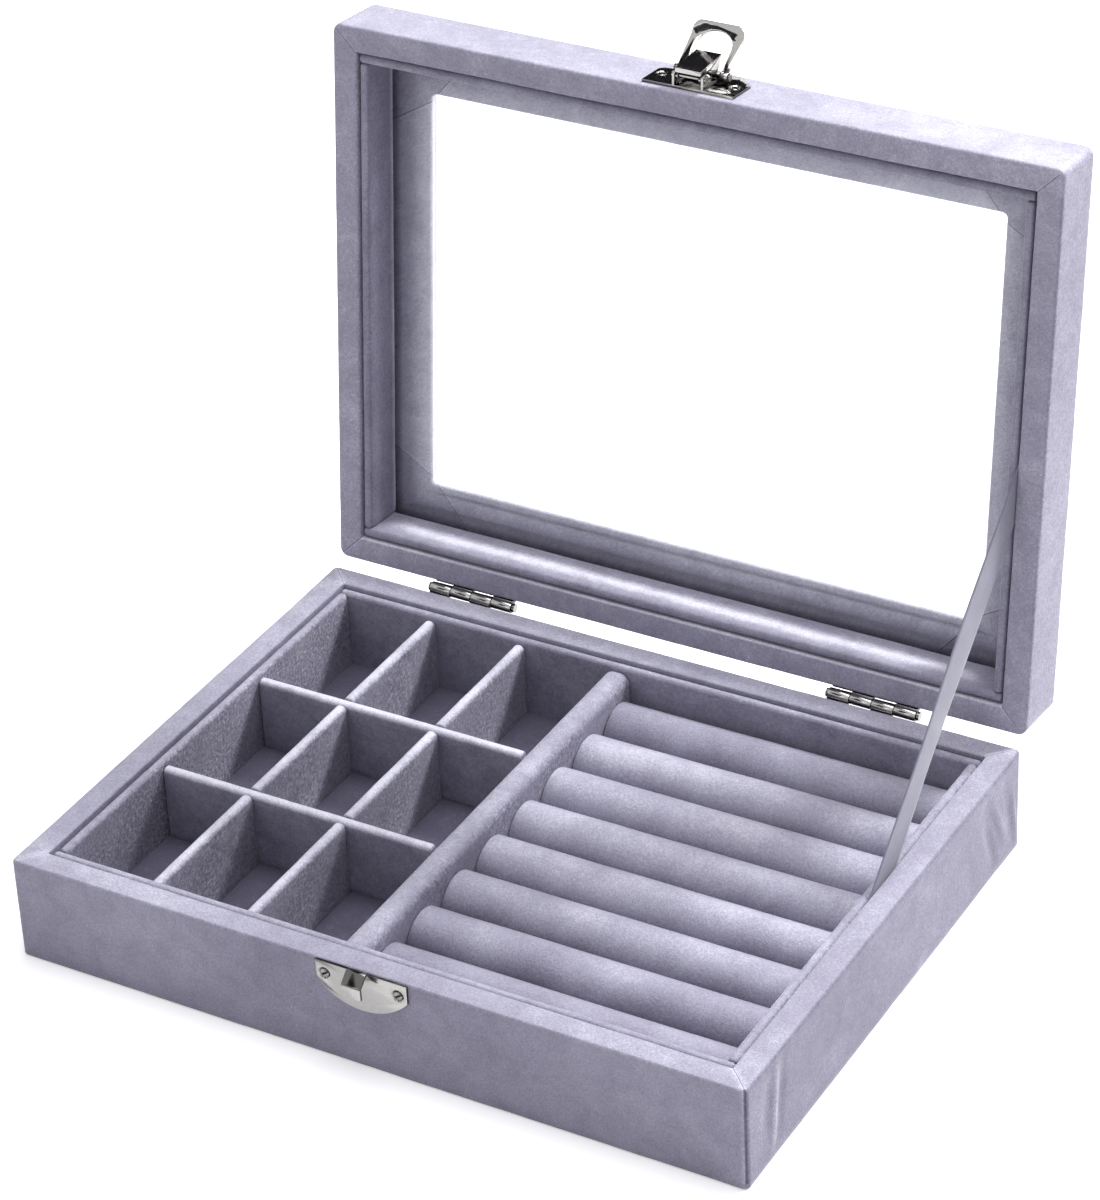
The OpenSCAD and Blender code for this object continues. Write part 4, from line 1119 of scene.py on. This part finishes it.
class RINGBOX_OT_compartments(bpy.types.Operator):
    """Makes the compartments' floor cards, dividers and the wide partition"""

    bl_idname = "ringbox.compartments"
    bl_label = "Compartments"

    def execute(self, context):
        sizes = context.scene.ring_box_sizes
        slack, tuck = sizes.pad_slack, sizes.card_tuck / MM
        steps = CELL_W + DIVIDER_T, CELL_D + DIVIDER_T
        x, y = BAY_X0 + CELL_W / 2, -INNER_D / 2 + CELL_D / 2
        profile = pad_profile(CELL_D + 2 * tuck, DECK_Z, FLOOR_Z - FLOOR_PLAY, 0.1, 0.1)
        half = CELL_W / 2 + tuck
        floors = bar("floor_cards", profile, -half, half, cap=0.1, x=x, y=y)
        # painted shade: the floor cards darker at the bottom of the compartments, with no painted
        # light on top
        pile(floors, 61, tone=-0.52, up=0.0, handled=0.0)
        repeat(floors, "velvet_pads", (3, 3), steps, 0.5 * slack, 9, 1.3)
        dress(floors, "velvet_pads", "base", "velvet", "compartment_floor")

        pads = "velvet_pads", "base", "velvet_pads"
        thin = pad_profile(DIVIDER_T, FLOOR_Z, DIVIDER_TOP, 1.3, 0.1)
        for n, name in enumerate(("front", "back")):
            across = -INNER_D / 2 + (n + 1) * (CELL_D + DIVIDER_T) - DIVIDER_T / 2
            start, end = BAY_X0 + END_PLAY, BAY_X1 - END_PLAY
            obj = bar(f"long_divider_pad_{name}", thin, start, end, cap=0.6, y=across)
            ruffle(obj, slack, 70 + 3 * n)
            # painted light on the dividers' tops
            pile(obj, 70 + n, up=0.42)
            dress(obj, *pads, f"long_divider_{name}")

        half = CELL_D / 2 - END_PLAY
        x = BAY_X0 + CELL_W + DIVIDER_T / 2
        short = bar("short_divider_pads", thin, -half, half, cap=0.6, x=x, y=y, along_y=True)
        # painted light on the tops, and the painted shadow of the divider behind on the sides
        pile(short, 80, up=0.36, painted_shadow=0.3)
        repeat(short, "velvet_pads", (2, 3), steps, 2.2 * slack, 9, 4.1)
        names = [
            f"short_divider_{row}_{side}"
            for row in ("front", "middle", "back") for side in ("left", "right")]
        dress(short, *pads, *names)

        wide = pad_profile(PARTITION_T, DECK_Z, DIVIDER_TOP, 2.6, 0.2)
        half = INNER_D / 2 - END_PLAY
        obj = bar("partition_pad", wide, -half, half, cap=0.8, x=PARTITION_X, along_y=True)
        ruffle(obj, slack, 90)
        # painted light on the top, and painted shade darkening the rest
        pile(obj, 90, tone=-0.11, up=0.26, handled=0.3)
        dress(obj, *pads, "centre_partition")
        return {"FINISHED"}


class RINGBOX_OT_ring_rolls(bpy.types.Operator):
    """Makes the eight velvet rolls over their foam cores"""

    bl_idname = "ringbox.ring_rolls"
    bl_label = "Ring rolls"

    def execute(self, context):
        slack = context.scene.ring_box_sizes.roll_slack
        axis_z = FLOOR_Z + ROLL_R - ROLL_FLAT
        flat = math.degrees(math.acos((ROLL_R - ROLL_FLAT) / ROLL_R))
        profile = arc((0, axis_z), ROLL_R, -90 + flat, 270 - flat, ROLL_TURN_STEPS)
        profile += straight(profile[-1], profile[0], WALL_STEP)
        y = INNER_D / 2 - ROLL_PITCH / 2
        rolls = bar("ring_rolls", profile, ROLL_X0, ROLL_X1, cap=0.45, y=y, step=ROLL_STEP)
        repeat(rolls, "velvet_rolls", (1, ROLL_COUNT), (0, -ROLL_PITCH), slack, 16, 7.7)
        # painted shade: the back roll darker in the back liner's shade and the front ones in the
        # lid's shadow, with painted light on their tops
        depth = vertices(rolls)[:, 1]
        back = smooth_step(depth, y - 0.75 * ROLL_PITCH, y)
        front = smooth_step(-depth, 5, 55)
        pile(rolls, 95, tone=-0.26 - 0.15 * back - 0.14 * front, up=0.46, handled=0.0)
        nodes = [f"ring_roll_{n + 1}" for n in range(ROLL_COUNT)]
        dress(rolls, "velvet_rolls", "base", "velvet_rolls", *nodes)
        return {"FINISHED"}


class RINGBOX_OT_ribbon(bpy.types.Operator):
    """Makes the ribbon stay between the base and the lid"""

    bl_idname = "ringbox.ribbon"
    bl_label = "Ribbon stay"

    def execute(self, context):
        bow = context.scene.ring_box_sizes.ribbon_bow / MM
        low = np.array([RIBBON_Y, BASE_TOP])
        high = opened([[0, RIBBON_Y, LID_RIM]])[0, 1:]
        span = np.linalg.norm(high - low)
        along = (high - low) / span
        across = (-along[1], along[0])
        total = span + 2 * RIBBON_TUCK
        s = (-RIBBON_TUCK + total * np.arange(RIBBON_STEPS + 1) / RIBBON_STEPS)[:, None]
        v = (np.arange(RIBBON_COLUMNS + 1) / RIBBON_COLUMNS - 0.5) * RIBBON_W
        share = np.clip(s / span, 0, 1)
        belly = np.sin(np.pi * share)
        twist = math.radians(RIBBON_TWIST) * np.sin(2 * np.pi * share) * belly
        cup = RIBBON_CUP * (1 - (2 * v / RIBBON_W) ** 2)
        x = RIBBON_X + 0.35 * v * np.sin(twist) + (cup - 0.4 * bow) * belly
        offset = v * np.cos(twist) - 0.25 * bow * belly
        y, z = (low[k] + along[k] * s + across[k] * offset for k in (0, 1))
        half = RIBBON_T / 2
        sides = [np.stack([x + d, y, z], axis=-1).reshape(-1, 3) for d in (half, -half)]
        faces = slab_faces(RIBBON_STEPS + 1, RIBBON_COLUMNS + 1)
        obj = new_object("ribbon_band", np.concatenate(sides), faces)
        uv = np.stack(np.broadcast_arrays(v, s), axis=-1).reshape(-1, 2) * MM
        corners = np.empty(len(obj.data.loops), dtype=np.int32)
        obj.data.loops.foreach_get("vertex_index", corners)
        layer = obj.data.uv_layers.new(name="ribbon")
        layer.data.foreach_set("uv", np.tile(uv, (2, 1))[corners].astype(np.float32).ravel())
        obj.data.materials.append(finish("ribbon"))
        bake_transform(obj)
        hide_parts("ribbon_stay")
        return {"FINISHED"}


class RINGBOX_OT_plated(bpy.types.Operator):
    """Makes the hinges, keeper and draw latch with tumbled edges"""

    bl_idname = "ringbox.plated"
    bl_label = "Plated fittings"

    def execute(self, context):
        edge = context.scene.ring_box_sizes.tumbled_edge
        # each piece's finish, and how many times the tumbled edge its own is
        finishes = {
            "keeper_plate": ("satin", 2.8), "hasp_plate": ("bright", 2.2),
            "hasp_lever": ("bright", 1.2), "hasp_loop": ("bright", 1.6)}
        for side in ("left", "right"):
            for leaf in ("base", "lid"):
                finishes[f"hinge_leaf_{leaf}_{side}"] = ("hinge", 1.4)
        for node, (kind, wear) in finishes.items():
            obj = softened(node, wear * edge)
            if node == "keeper_plate":
                shade_hook(obj)
            dress(obj, kind, *part_of(node), node)
        return {"FINISHED"}


class RINGBOX_OT_screws(bpy.types.Operator):
    """Makes the four latch screws, slotted, in their countersinks"""

    bl_idname = "ringbox.screws"
    bl_label = "Latch screws"

    def execute(self, context):
        face_y = -HALF_D - PLATE_T
        keeper = (0, face_y, BASE_TOP + KEEPER_SCREW_Y)
        screws("keeper_screws", keeper, KEEPER_SLOT_TURN, (0, -1, 0))
        z = HASP_Z + HASP_SCREW_Y
        hasp, ahead = opened([[0, face_y, z], [0, face_y - 1, z]])
        screws("hasp_screws", hasp.tolist(), HASP_SLOT_TURN, (ahead - hasp).tolist())
        return {"FINISHED"}


class RINGBOX_OT_fittings(bpy.types.Operator):
    """Gives the frame's own glass, boards, cards, foam and metal their finishes"""

    bl_idname = "ringbox.fittings"
    bl_label = "Fittings"

    def execute(self, context):
        kinds = {
            "glass": "glass", "screw": "screw", "cover": "card", "roll_bed": "card",
            "foam": "foam", "board": "board", "hinge": "hinge", "keeper": "satin",
            "hasp_plate": "satin", "lever": "bright", "loop": "bright"}
        for name, obj in frame["nodes"].items():
            kind = next((kinds[part] for part in kinds if part in name), None)
            if kind:
                obj.data.materials.clear()
                obj.data.materials.append(finish(kind))
        return {"FINISHED"}


class RINGBOX_PT_panel(bpy.types.Panel):
    """Lists the ring box's pieces and their settings"""

    bl_idname = "RINGBOX_PT_panel"
    bl_label = "Ring box"
    bl_space_type = "VIEW_3D"
    bl_region_type = "UI"
    bl_category = "Ring box"

    def draw(self, context):
        for group in (context.scene.ring_box_sizes, context.scene.ring_box_colours):
            box = self.layout.box()
            for name in group.bl_rna.properties.keys():
                if name not in ("rna_type", "name"):
                    box.prop(group, name)
        column = self.layout.column(align=True)
        for operator in OPERATORS:
            column.operator(operator.bl_idname)


OPERATORS = (
    RINGBOX_OT_stage,
    RINGBOX_OT_base_wrap,
    RINGBOX_OT_lid_wrap,
    RINGBOX_OT_liners,
    RINGBOX_OT_compartments,
    RINGBOX_OT_ring_rolls,
    RINGBOX_OT_ribbon,
    RINGBOX_OT_plated,
    RINGBOX_OT_screws,
    RINGBOX_OT_fittings,
)
CLASSES = (RingBoxSizes, RingBoxColours, *OPERATORS, RINGBOX_PT_panel)


def register():
    for kind in CLASSES:
        bpy.utils.register_class(kind)
    bpy.types.Scene.ring_box_sizes = PointerProperty(type=RingBoxSizes)
    bpy.types.Scene.ring_box_colours = PointerProperty(type=RingBoxColours)


def unregister():
    del bpy.types.Scene.ring_box_colours
    del bpy.types.Scene.ring_box_sizes
    for kind in reversed(CLASSES):
        bpy.utils.unregister_class(kind)


def main():
    register()
    for operator in OPERATORS:
        group, name = operator.bl_idname.split(".")
        getattr(getattr(bpy.ops, group), name)()


if __name__ == "__main__":
    main()
